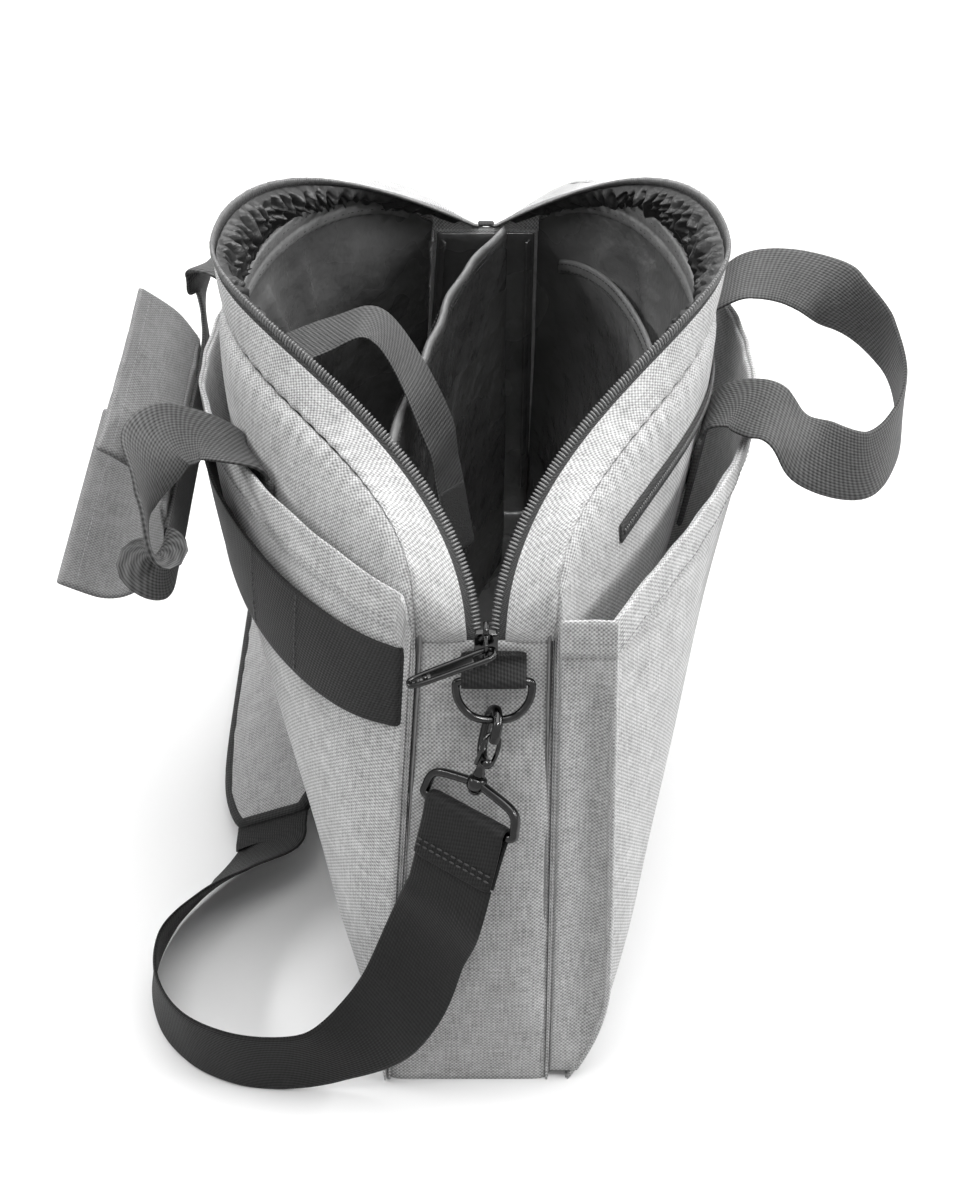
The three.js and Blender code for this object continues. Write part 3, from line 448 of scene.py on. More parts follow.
def thickSheet(name, outer, inner, cloth, material, edge=0.45, straight=False):
    # A closed sheet of fabric between two grids of points, with a rounded rim all round;
    # straight lets its two ends reach out along X
    rows, cols, _ = outer.shape
    middle = (outer + inner) / 2
    thick = np.linalg.norm(outer - inner, axis=2, keepdims=True)
    rim = np.pad(middle, ((1, 1), (1, 1), (0, 0)), mode="edge")
    up = unit(middle[0] - middle[1]) * thick[0] * edge
    down = unit(middle[-1] - middle[-2]) * thick[-1] * edge
    left = unit(middle[:, 0] - middle[:, 1]) * thick[:, 0] * edge
    right = unit(middle[:, -1] - middle[:, -2]) * thick[:, -1] * edge
    if straight:
        left = thick[:, 0] * edge * (-1, 0, 0)
        right = thick[:, -1] * edge * (1, 0, 0)
    rim[0, 1:-1] += up
    rim[-1, 1:-1] += down
    rim[1:-1, 0] += left
    rim[1:-1, -1] += right
    for r, c, one, two in ((0, 0, up[0], left[0]), (0, -1, up[-1], right[0]),
                           (-1, 0, down[0], left[-1]), (-1, -1, down[-1], right[-1])):
        rim[r, c] += 0.7 * (one + two)
    size = (rows + 2) * (cols + 2)
    outIndex = np.arange(size).reshape(rows + 2, cols + 2)
    inIndex = outIndex.copy()
    inIndex[1:-1, 1:-1] = size + np.arange(rows * cols).reshape(rows, cols)
    outerAll = rim.copy()
    outerAll[1:-1, 1:-1] = outer
    points = np.concatenate([outerAll.reshape(-1, 3), inner.reshape(-1, 3)])
    padded = np.pad(cloth, ((1, 1), (1, 1), (0, 0)), mode="edge")
    padded[0, 1:-1] = beyond(cloth[0], cloth[1], thick[0])
    padded[-1, 1:-1] = beyond(cloth[-1], cloth[-2], thick[-1])
    padded[1:-1, 0] = beyond(cloth[:, 0], cloth[:, 1], thick[:, 0])
    padded[1:-1, -1] = beyond(cloth[:, -1], cloth[:, -2], thick[:, -1])
    coords = np.concatenate([padded.reshape(-1, 2), cloth.reshape(-1, 2)])
    faces = [tuple(f) for f in gridFaces(outIndex)] + [tuple(reversed(f)) for f in gridFaces(inIndex)]
    return makeObject(name, points, outwards(points, faces), material, coords)


def clothOf(grid):
    # Cloth coordinates in millimetres: along the rows by x, up the columns by arc length
    step = np.linalg.norm(np.diff(grid, axis=0), axis=2)
    rise = np.concatenate([np.zeros((1, grid.shape[1])), np.cumsum(step, axis=0)])
    return np.stack([np.broadcast_to(grid[grid.shape[0] // 2, :, 0], rise.shape), rise], axis=-1)


def bandCloth(grid):
    # The same, along the rows by arc length
    step = np.linalg.norm(np.diff(grid, axis=0), axis=2)
    rise = np.concatenate([np.zeros((1, grid.shape[1])), np.cumsum(step, axis=0)])
    side = np.linalg.norm(np.diff(grid[grid.shape[0] // 2], axis=0), axis=1)
    run = np.concatenate([[0], np.cumsum(side)])
    return np.stack([np.broadcast_to(run, rise.shape), rise], axis=-1)


def splinePoints(points, samples, closed=False, even=False):
    # Centripetal spline, or an even one, through points
    points = np.asarray(points, dtype=float)
    count = len(points)
    spans = count if closed else count - 1
    result = []
    for t in np.linspace(0, spans, samples, endpoint=not closed):
        span = min(int(t), spans - 1)
        w = t - span
        if closed:
            p = [points[(span + i) % count] for i in (-1, 0, 1, 2)]
        else:
            p1, p2 = points[span], points[span + 1]
            p = [points[span - 1] if span else 2 * p1 - p2, p1, p2,
                 points[span + 2] if span + 2 < count else 2 * p2 - p1]
        if even:
            t0, t1 = (p[2] - p[0]) * 0.5, (p[3] - p[1]) * 0.5
        else:
            d = [max(np.linalg.norm(p[i + 1] - p[i]) ** 0.5, 1e-4) for i in range(3)]
            t0 = ((p[1] - p[0]) / d[0] - (p[2] - p[0]) / (d[0] + d[1]) + (p[2] - p[1]) / d[1]) * d[1]
            t1 = ((p[2] - p[1]) / d[1] - (p[3] - p[1]) / (d[1] + d[2]) + (p[3] - p[2]) / d[2]) * d[1]
        c2 = -3 * p[1] + 3 * p[2] - 2 * t0 - t1
        c3 = 2 * p[1] - 2 * p[2] + t0 + t1
        result.append(p[1] + t0 * w + c2 * w * w + c3 * w ** 3)
    return np.array(result)


def tangents(points, closed=False):
    if closed:
        return unit(np.roll(points, -1, axis=0) - np.roll(points, 1, axis=0))
    return unit(np.gradient(points, axis=0))


def loftRings(name, rings, material, cloth=None, closed=False):
    # A skin over rings of equally many points; open ends get a small rounded cap
    rings = np.asarray(rings, dtype=float)
    count, size, _ = rings.shape
    index = np.arange(count * size).reshape(count, size)
    wrapped = np.concatenate([index, index[:, :1]], axis=1)
    if closed:
        wrapped = np.concatenate([wrapped, wrapped[:1]], axis=0)
    faces = [tuple(f) for f in gridFaces(wrapped)]
    points = rings.reshape(-1, 3)
    coords = None if cloth is None else np.asarray(cloth, dtype=float).reshape(-1, 2)
    if not closed:
        for end, near in ((0, 1), (count - 1, count - 2)):
            centre = rings[end].mean(axis=0)
            out = rings[end] - rings[near]
            out = unit(out.mean(axis=0)) * np.linalg.norm(rings[end] - centre, axis=1).min() * 0.35
            start = len(points)
            small = centre + (rings[end] - centre) * 0.86 + out
            points = np.concatenate([points, small, (centre + out)[None]])
            if coords is not None:
                own = coords[end * size:(end + 1) * size]
                coords = np.concatenate([coords, own, own.mean(axis=0)[None]])
            for j in range(size):
                k = (j + 1) % size
                a, b = index[end][j], index[end][k]
                quad = (b, a, start + j, start + k)
                fan = (start + k, start + j, start + size)
                faces += [quad, fan] if end == 0 else [tuple(reversed(quad)), tuple(reversed(fan))]
    return makeObject(name, points, outwards(points, faces), material, coords)


def rodObject(name, points, radius, material, sides=14, samples=96, closed=False, even=True, square=1.0):
    # A rod of wire; square above 1 flattens its round section towards a square bar
    path = splinePoints(points, samples, closed, even)
    along = tangents(path, closed)
    spare = np.array([1.0, 0.0, 0.0]) if abs(along[0][0]) < 0.8 else np.array([0.0, 0.0, 1.0])
    side = unit(np.cross(along[0], spare))
    frames = []
    for direction in along:
        side = unit(side - direction * np.dot(side, direction))
        frames.append((side, np.cross(direction, side)))
    if closed:
        last = frames[-1][0]
        first = unit(frames[0][0] - along[-1] * np.dot(frames[0][0], along[-1]))
        twist = math.atan2(np.dot(np.cross(last, first), along[-1]), np.dot(last, first))
        turned = []
        for i, (a, b) in enumerate(frames):
            angle = twist * i / len(frames)
            cosine, sine = math.cos(angle), math.sin(angle)
            turned.append((a * cosine + b * sine, b * cosine - a * sine))
        frames = turned
    turns = np.arange(sides) * 2 * math.pi / sides
    c, s = np.cos(turns), np.sin(turns)
    reach = (np.abs(c) ** (2 * square) + np.abs(s) ** (2 * square)) ** (-1 / (2 * square))
    right, up = (c * reach)[:, None], (s * reach)[:, None]
    rings = [p + radius * (right * a + up * b) for p, (a, b) in zip(path, frames)]
    return loftRings(name, rings, material, None, closed)


def ribbonGrid(stations, samples):
    path = splinePoints([s[0] for s in stations], samples)
    side = splinePoints([s[1] for s in stations], samples)
    along = tangents(path)
    side = unit(side - along * np.einsum("ij,ij->i", side, along)[:, None])
    return path, side, unit(np.cross(along, side))


def webbingProfile(width, thickness):
    # Half of the section's outline runs across one face, the other half back across the other
    steps = 14
    s = np.sin(np.linspace(-math.pi / 2, math.pi / 2, steps))
    lift = np.sqrt(np.maximum(1 - np.abs(s) ** 10, 0)) * 0.5
    lift = np.maximum(lift, 0.12) + 0.06 * smooth(0.8, 0.93, np.abs(s)) * (1 - smooth(0.95, 1, np.abs(s)))
    top = np.stack([s * width / 2, lift * thickness], axis=1)
    bottom = np.stack([s[::-1] * width / 2, -lift[::-1] * thickness], axis=1)
    return np.concatenate([top, bottom])


def ribbonObject(name, stations, width, thickness, material, samples, wobble=0.0, seed=0):
    path, side, face = ribbonGrid(stations, samples)
    profile = webbingProfile(width, thickness)
    run = np.concatenate([[0], np.cumsum(np.linalg.norm(np.diff(path, axis=0), axis=1))])
    rings = path[:, None] + side[:, None] * profile[None, :, :1] + face[:, None] * profile[None, :, 1:]
    if wobble:
        ease = np.minimum(np.minimum(run, run[-1] - run) / 25, 1)
        wave = np.array([noise.noise(Vector((r / 40, seed, 3.1))) for r in run]) * ease * wobble
        cup = np.array([noise.noise(Vector((r / 60, seed, 9.7))) for r in run]) * ease * wobble
        curve = (profile[:, 0] / (width / 2)) ** 2 - 0.4
        rings = rings + face[:, None] * (wave[:, None] * 0.5 + cup[:, None] * curve[None])[:, :, None]
    cloth = np.stack(np.broadcast_arrays(profile[None, :, 0], run[:, None]), axis=-1)
    return loftRings(name, rings, material, cloth)


# Rows of stitches, teeth and the like, by geometry nodes along rails

def rowTree():
    tree = bpy.data.node_groups.new("rowAlongRail", "GeometryNodeTree")
    face = tree.interface
    face.new_socket("Geometry", in_out="INPUT", socket_type="NodeSocketGeometry")
    for label, kind in (
        ("Pitch", "NodeSocketFloat"), ("Size", "NodeSocketVector"), ("Lean", "NodeSocketFloat"),
        ("Seed", "NodeSocketInt"), ("Finish", "NodeSocketMaterial"),
    ):
        face.new_socket(label, in_out="INPUT", socket_type=kind)
    face.new_socket("Geometry", in_out="OUTPUT", socket_type="NodeSocketGeometry")
    nodes, links = tree.nodes, tree.links

    def add(kind, **settings):
        made = nodes.new(kind)
        for key, value in settings.items():
            setattr(made, key, value)
        return made

    start = add("NodeGroupInput")
    curve = add("GeometryNodeMeshToCurve")
    even = add("GeometryNodeResampleCurve", mode="LENGTH")
    bead = add("GeometryNodeMeshUVSphere")
    bead.inputs["Segments"].default_value = 8
    bead.inputs["Rings"].default_value = 5
    bead.inputs["Radius"].default_value = 0.5
    tangent = add("GeometryNodeInputTangent")
    facing = add("GeometryNodeInputNamedAttribute", data_type="FLOAT_VECTOR")
    facing.inputs["Name"].default_value = "facing"
    alongRail = add("FunctionNodeAlignRotationToVector", axis="X")
    outwardTurn = add("FunctionNodeAlignRotationToVector", axis="Z", pivot_axis="X")
    lean = add("FunctionNodeAxisAngleToRotation")
    lean.inputs["Axis"].default_value = (0, 0, 1)
    leaned = add("FunctionNodeRotateRotation", rotation_space="LOCAL")
    vary = add("FunctionNodeRandomValue", data_type="FLOAT")
    vary.inputs[2].default_value = 0.94
    vary.inputs[3].default_value = 1.06
    scaled = add("ShaderNodeVectorMath", operation="SCALE")
    put = add("GeometryNodeInstanceOnPoints")
    real = add("GeometryNodeRealizeInstances")
    shade = add("GeometryNodeSetShadeSmooth")
    paint = add("GeometryNodeSetMaterial")
    end = add("NodeGroupOutput")
    links.new(start.outputs["Geometry"], curve.inputs["Mesh"])
    links.new(curve.outputs["Curve"], even.inputs["Curve"])
    links.new(start.outputs["Pitch"], even.inputs["Length"])
    links.new(even.outputs["Curve"], put.inputs["Points"])
    links.new(bead.outputs["Mesh"], put.inputs["Instance"])
    links.new(tangent.outputs["Tangent"], alongRail.inputs["Vector"])
    links.new(alongRail.outputs["Rotation"], outwardTurn.inputs["Rotation"])
    links.new(facing.outputs["Attribute"], outwardTurn.inputs["Vector"])
    links.new(start.outputs["Lean"], lean.inputs["Angle"])
    links.new(outwardTurn.outputs["Rotation"], leaned.inputs["Rotation"])
    links.new(lean.outputs["Rotation"], leaned.inputs["Rotate By"])
    links.new(leaned.outputs["Rotation"], put.inputs["Rotation"])
    links.new(start.outputs["Seed"], vary.inputs["Seed"])
    links.new(start.outputs["Size"], scaled.inputs[0])
    links.new(vary.outputs[1], scaled.inputs["Scale"])
    links.new(scaled.outputs[0], put.inputs["Scale"])
    links.new(put.outputs["Instances"], real.inputs["Geometry"])
    links.new(real.outputs["Geometry"], shade.inputs["Geometry"])
    links.new(shade.outputs["Geometry"], paint.inputs["Geometry"])
    links.new(start.outputs["Finish"], paint.inputs["Material"])
    links.new(paint.outputs["Geometry"], end.inputs["Geometry"])
    return tree


rowOfBeads = rowTree()


def beadRows(name, rails, pitch, size, material, lean=0.0, seed=7):
    # rails are pairs of points and outward directions; size is along, across and proud, in mm
    points, facing, edges = [], [], []
    for line, out in rails:
        start = len(points)
        points += [tuple(p / 1000) for p in np.asarray(line)]
        facing += [tuple(f) for f in np.asarray(out)]
        edges += [(start + i, start + i + 1) for i in range(len(line) - 1)]
    mesh = bpy.data.meshes.new(name + "Rail")
    mesh.from_pydata(points, edges, [])
    attribute = mesh.attributes.new("facing", "FLOAT_VECTOR", "POINT")
    attribute.data.foreach_set("vector", np.array(facing, dtype=np.float32).ravel())
    rail = bpy.data.objects.new(name + "Rail", mesh)
    scene.collection.objects.link(rail)
    modifier = rail.modifiers.new("row", "NODES")
    modifier.node_group = rowOfBeads
    sockets = rowOfBeads.interface.items_tree
    named = {item.name: item.identifier for item in sockets if item.in_out == "INPUT"}
    modifier[named["Pitch"]] = pitch / 1000
    modifier[named["Size"]] = [s / 1000 for s in size]
    modifier[named["Lean"]] = lean
    modifier[named["Seed"]] = seed
    modifier[named["Finish"]] = material
    bpy.context.view_layer.update()
    evaluated = rail.evaluated_get(bpy.context.evaluated_depsgraph_get())
    made = bpy.data.meshes.new_from_object(evaluated)
    made.name = name
    rail.modifiers.clear()
    bpy.data.objects.remove(rail)
    if not made.materials:
        made.materials.append(material)
    obj = bpy.data.objects.new(name, made)
    scene.collection.objects.link(obj)
    return obj


# Shape of the splayed shell

bag = {
    "baseHalf": 200, "topHalf": 155, "zipEndHeight": 222, "seamHeight": 277, "rimHeight": 305,
    "gussetTopHalf": 28, "zipGap": 2.6, "fabric": 3.0, "bandFabric": 2.4,
}
back = {"sign": 1, "baseEdge": 44, "seamOut": 110, "rimOut": 114, "bulge": 21, "seed": 2.0}
front = {"sign": -1, "baseEdge": 28, "seamOut": 96, "rimOut": 101, "bulge": 15, "seed": 7.0}


def openness(k, nearPower, farPower):
    near = np.maximum(0.5 * (1 + np.cos(np.pi * np.clip(k, -1, 0))), 0) ** nearPower
    far = np.maximum(1 - np.clip(k, 0, 1) ** 2, 0) ** farPower
    return np.where(k < 0, near, far)


def seamPoint(side, k):
    y = side["sign"] * lerp(bag["gussetTopHalf"], side["seamOut"], openness(k, 0.75, 0.8))
    arch = np.maximum(1 - np.abs(k) ** 3, 0) ** (1 / 3)
    z = bag["zipEndHeight"] + (bag["seamHeight"] - bag["zipEndHeight"]) * arch
    return np.stack([bag["topHalf"] * k, y, z], axis=-1)


def rimPoint(side, k):
    y = side["sign"] * lerp(bag["zipGap"], side["rimOut"], openness(k, 0.9, 1))
    z = bag["zipEndHeight"] + (bag["rimHeight"] - bag["zipEndHeight"]) * (1 - np.abs(k) ** 2.5)
    return np.stack([bag["topHalf"] * k, y, z], axis=-1)


def dent(side, k, v):
    # Soft unevenness that every layer of a side shares; nothing at the edges
    s = side["seed"]
    wave = (np.sin(4.1 * k + 3.3 * v + s) * np.sin(5.2 * v - 1.7 * k + 2 * s)
            + 0.5 * np.sin(9.7 * k - 4.4 * v + 3 * s) * np.sin(8.3 * v + 2.9 * k + s))
    return 1.3 * wave * (1 - k ** 6) * smooth(0.0, 0.16, v) * (1 - smooth(0.8, 0.98, v))


def wallPoint(side, k, v):
    k, v = np.broadcast_arrays(np.asarray(k, dtype=float), np.asarray(v, dtype=float))
    base = np.stack([
        bag["baseHalf"] * k, side["sign"] * (side["baseEdge"] + 3 * (1 - k * k)), np.zeros_like(k),
    ], axis=-1)
    seam = seamPoint(side, k)
    low = lerp(base, seam, np.clip(v, 0, 1)[..., None])
    swell = np.maximum(np.sin(np.pi * np.clip(v, 0, 1)), 0) ** 0.6 * (1 - k ** 6)
    low[..., 1] += side["sign"] * (side["bulge"] * swell + dent(side, k, v))
    high = lerp(seam, rimPoint(side, k), np.maximum(v - 1, 0)[..., None])
    return np.where((v > 1)[..., None], high, low)


def wallNormal(side, k, height):
    k, v = np.broadcast_arrays(np.asarray(k, dtype=float), np.asarray(height, dtype=float))
    v = np.where(np.abs(v - 1) < 0.04, 1, v)
    alongK = (wallPoint(side, np.minimum(k + 0.02, 0.995), v)
              - wallPoint(side, np.maximum(k - 0.02, -0.995), v))
    alongV = (wallPoint(side, k, np.minimum(v + 0.06, 1.98))
              - wallPoint(side, k, np.maximum(v - 0.06, 0.02)))
    normal = unit(np.cross(alongK, alongV)) * -side["sign"]
    turn = smooth(0.94, 1.06, v) * (math.pi / 2)
    ends = np.stack([np.sign(k) * np.sin(turn), side["sign"] * np.cos(turn), np.zeros_like(k)], axis=-1)
    share = smooth(0.985, 1.0, np.abs(k))[..., None]
    return unit(lerp(normal, ends, share))


def inside(side, k, v, depth):
    return wallPoint(side, k, v) - wallNormal(side, k, v) * np.asarray(depth, dtype=float)[..., None]


def outside(side, k, v, out):
    point = wallPoint(side, k, v).copy()
    point[..., 1] += side["sign"] * out
    return point


def evenColumns(count):
    # Shares from -1 to 1 in even steps along the seam, so that they crowd at the bag's ends
    fine = np.sin(np.sin(np.linspace(-math.pi / 2, math.pi / 2, 4001)) * math.pi / 2)
    seam = seamPoint(back, fine)
    run = np.concatenate([[0], np.cumsum(np.linalg.norm(np.diff(seam, axis=0), axis=1))])
    return np.interp(np.linspace(0, run[-1], count), run, fine)


def kv(k0, k1, v0, v1, columns, rows):
    k = lerp(k0, k1, (evenColumns(columns) + 1) / 2)
    return np.meshgrid(k, np.linspace(v0, v1, rows))


def wallSheet(name, side, k, v, outDepth, inDepth, material, edge=0.45, straight=False):
    outDepth = np.broadcast_to(outDepth, k.shape)
    inDepth = np.broadcast_to(inDepth, k.shape)
    outer = inside(side, k, v, outDepth)
    cloth = clothOf(outer) if straight else bandCloth(outer)
    return thickSheet(name, outer, inside(side, k, v, inDepth), cloth, material, edge, straight)


def tuck(v, deep=1.5, reach=0.014):
    # How far a layer dives into the seam of the zip band
    return deep * np.exp(-((v - 1) / reach) ** 2)


mouthOf = {"back": "back_mouth", "front": "front_mouth"}
sides = {"back": back, "front": front}


def followMouth(obj):
    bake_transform(obj)


def pucker(k, v, at, reach, size, wave):
    # Small gathers across a seam
    return size * np.exp(-((v - at) / reach) ** 2) * np.sin(k * wave + 3 * np.sin(k * 9)) * (1 - k ** 8)


# Outer panels and zip bands

outerSet = {
    "columns": 260,             # along the bag
    "panelRows": 90,
    "panelThick": 3.2,
    "corner": 0.974,            # share of the half length from which a panel thins to its end seam
    "gather": 0.4,
    "bandRows": 34,
    "bandLow": 1.012,
    "bandReach": 0.788,
    "bandGather": 0.5,
}
zipSet = {
    "tapeLow": 1.77,
    "tapeHigh": 1.97,
    "tapeOut": 0.5,             # depths of the tape's two faces
    "tapeIn": 1.3,
    "teethLine": 1.985,
    "teethPitch": 1.56,
    "toothSize": (1.25, 4.3, 2.1),
    "toothLean": 0.12,
}

for name, side in sides.items():
    k, t = kv(-1, 1, 0, 1, outerSet["columns"], outerSet["panelRows"])
    v = 0.997 * (1 - (1 - t) ** 1.3)
    gather = pucker(k, v, 0.985, 0.03, outerSet["gather"], 150)
    corner = smooth(outerSet["corner"], 1.0, np.abs(k))
    panel = wallSheet(name + "PanelCloth", side, k, v, tuck(v) - gather + 0.9 * corner,
                      outerSet["panelThick"] - 1.4 * corner, look["heather"], 0.3, True)
    followMouth(panel)
    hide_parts(name + "_panel")

    k, t = kv(-1, 1, 0, 1, outerSet["columns"], outerSet["bandRows"])
    v = outerSet["bandLow"] + outerSet["bandReach"] * t ** 1.4
    soft = pucker(k, v, 1.06, 0.16, outerSet["bandGather"], 130) + 0.5 * np.sin(np.pi * (v - 1) / 0.8)
    band = wallSheet(name + "BandCloth", side, k, v, tuck(v, 1.4, 0.08) - soft,
                     bag["bandFabric"] + 0.2, look["heather"], 0.3)
    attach(band, mouthOf[name])
    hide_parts(name + "_zip_band")

    k, v = kv(-1, 1, zipSet["tapeLow"], zipSet["tapeHigh"], 220, 8)
    tape = wallSheet(name + "TapeCloth", side, k, v, zipSet["tapeOut"], zipSet["tapeIn"], look["tape"])
    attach(tape, mouthOf[name])
    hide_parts(name + "_zip_tape")

    k = evenColumns(600)[4:-4]
    line = inside(side, k, np.full_like(k, zipSet["teethLine"]), np.full_like(k, 0.7))
    across = unit(wallPoint(side, k, np.full_like(k, 2.0)) - wallPoint(side, k, np.full_like(k, 1.9)))
    faceOut = wallNormal(side, k, np.full_like(k, 1.98))
    teeth = beadRows(name + "TeethRow", [(line, faceOut)], zipSet["teethPitch"], zipSet["toothSize"],
                     look["coil"], zipSet["toothLean"] * side["sign"])
    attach(teeth, mouthOf[name])
    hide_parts(name + "_zip_teeth")

print("outer panels and zips made")


# Small helpers for fabric

def folds(grid, scale, seed, stretch=(1, 1, 1)):
    # Sharp soft ridges between 0 and 1, for creased lining
    flat = grid.reshape(-1, 3)
    values = []
    for x, y, z in flat:
        place = Vector((x * stretch[0] / scale + seed, y * stretch[1] / scale, z * stretch[2] / scale))
        warp = noise.noise(place * 0.6 + Vector((5.2, 1.3, seed))) * 0.9
        values.append(1 - abs(noise.noise(place + Vector((warp, -warp, warp)))) * 2.4)
    return np.clip(np.array(values), 0, 1).reshape(grid.shape[:2]) ** 2


def shifted(grid, direction, amount):
    return grid + np.asarray(direction) * np.asarray(amount)[..., None]


def joined(name, *parts):
    # One mesh out of several
    target = parts[0]
    points, faces, coords, start = [], [], [], 0
    for obj in parts:
        mesh = obj.data
        points += [tuple(vertex.co) for vertex in mesh.vertices]
        faces += [tuple(start + n for n in face.vertices) for face in mesh.polygons]
        if mesh.uv_layers:
            coords += [tuple(item.uv) for item in mesh.uv_layers[0].data]
        else:
            coords += [(0.0, 0.0)] * len(mesh.loops)
        start += len(mesh.vertices)
    mesh = bpy.data.meshes.new(name)
    mesh.from_pydata(points, [], faces)
    layer = mesh.uv_layers.new(name="cloth")
    layer.data.foreach_set("uv", np.array(coords).ravel())
    mesh.shade_smooth()
    mesh.materials.append(target.data.materials[0])
    for obj in parts:
        bpy.data.objects.remove(obj)
    made = bpy.data.objects.new(name, mesh)
    scene.collection.objects.link(made)
    return made


def place(obj, matrix):
    # Bakes a frame given in millimetres into the mesh
    move = matrix.copy()
    move.translation = move.translation / 1000
    obj.data.transform(move)
    return obj


def dress(obj, body, nodes=()):
    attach(obj, body)
    if nodes:
        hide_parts(*nodes)
    return obj


def stitchRow(name, rails, body, thread="darkThread", pitch=4.0, size=(3.1, 0.55, 0.5)):
    row = beadRows(name, rails, pitch, size, look[thread])
    if body:
        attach(row, body)
    return row


# End gussets and base

gussetTilt = (bag["baseHalf"] - bag["topHalf"]) / bag["zipEndHeight"]
gussetSet = {
    "inset": (2.2, 3.1),        # distance of the outer and inner face from the two side seams
    "thick": 3.0,
    "crown": 2.6,
    "slack": 0.7,
    "low": 0.3,
    "columns": 40,
    "rows": 90,
}


def gussetX(z):
    return bag["baseHalf"] - gussetTilt * z


def gussetGrid(end, depth, inset, low, high, columns, rows, crown=0.0):
    z = np.linspace(low, high, rows)[:, None] * np.ones((1, columns))
    w = z / bag["zipEndHeight"]
    across = np.linspace(0, 1, columns)[None, :] * np.ones((rows, 1))
    backY = lerp(back["baseEdge"], bag["gussetTopHalf"], w) - inset
    frontY = -lerp(front["baseEdge"], bag["gussetTopHalf"], w) + inset
    y = lerp(frontY, backY, across)
    round_ = 1 - (2 * across - 1) ** 4
    rise = smooth(low, low + 45, z) * (1 - smooth(150, 200, z))
    crease = 0.9 * np.abs(2 * across - 1) ** 16 * (depth == 0)
    x = end * (gussetX(z) - depth - crease + crown * round_ * rise)
    return np.stack([x, y, z], axis=-1)


for name, end in (("near", -1), ("far", 1)):
    reach = (gussetSet["low"], bag["zipEndHeight"] - 0.4, gussetSet["columns"], gussetSet["rows"],
             gussetSet["crown"])
    outer = gussetGrid(end, 0.0, gussetSet["inset"][0], *reach)
    inner = gussetGrid(end, gussetSet["thick"], gussetSet["inset"][1], *reach)
    slack = folds(outer * (1, 1, 0.5), 30, 4.0 + end) * smooth(20, 60, outer[..., 2]) * (
        1 - smooth(150, 190, outer[..., 2]))
    outer = shifted(outer, (end, 0, 0), gussetSet["slack"] * slack)
    cloth = np.stack([outer[..., 1], outer[..., 2]], axis=-1)
    gusset = thickSheet(name + "GussetCloth", outer, inner, cloth, look["heather"])
    dress(gusset, "shell", [name + "_end_gusset"])


def baseGrid(z):
    k, t = np.meshgrid(np.linspace(-1, 1, 60), np.linspace(0, 1, 14))
    x = (bag["baseHalf"] - 3.3) * k
    low = -(front["baseEdge"] + 3 * (1 - k * k)) + 3.3
    high = back["baseEdge"] + 3 * (1 - k * k) - 3.3
    return np.stack([x, lerp(low, high, t), np.full_like(x, z)], axis=-1)


base = thickSheet("baseCloth", baseGrid(0.0), baseGrid(3.0), baseGrid(0.0)[..., :2], look["heather"])
dress(base, "shell", ["base_panel"])

# Lining

lining = {
    "depth": 3.7,
    "thick": 1.0,
    "crease": 2.6,
    "fold": {"back": 7.0, "front": 5.0},
    "ruffle": 5.6,              # depth of the gathers beside the zip
    "ruffles": 46,              # how many, on half the bag's length
    "ruffleReach": 0.972,       # share of the half length
    "ruffleLow": 1.02,
    "ruffleHigh": 1.885,
    "stripReach": 0.955,
    "stripLow": 0.935,
    "stripHigh": 0.995,
    "stripStitches": (0.948, 0.982),
    "sideGap": 3.9,             # from the end lining to the side seams
    "cornerSeam": (3.2, 1.4),
}

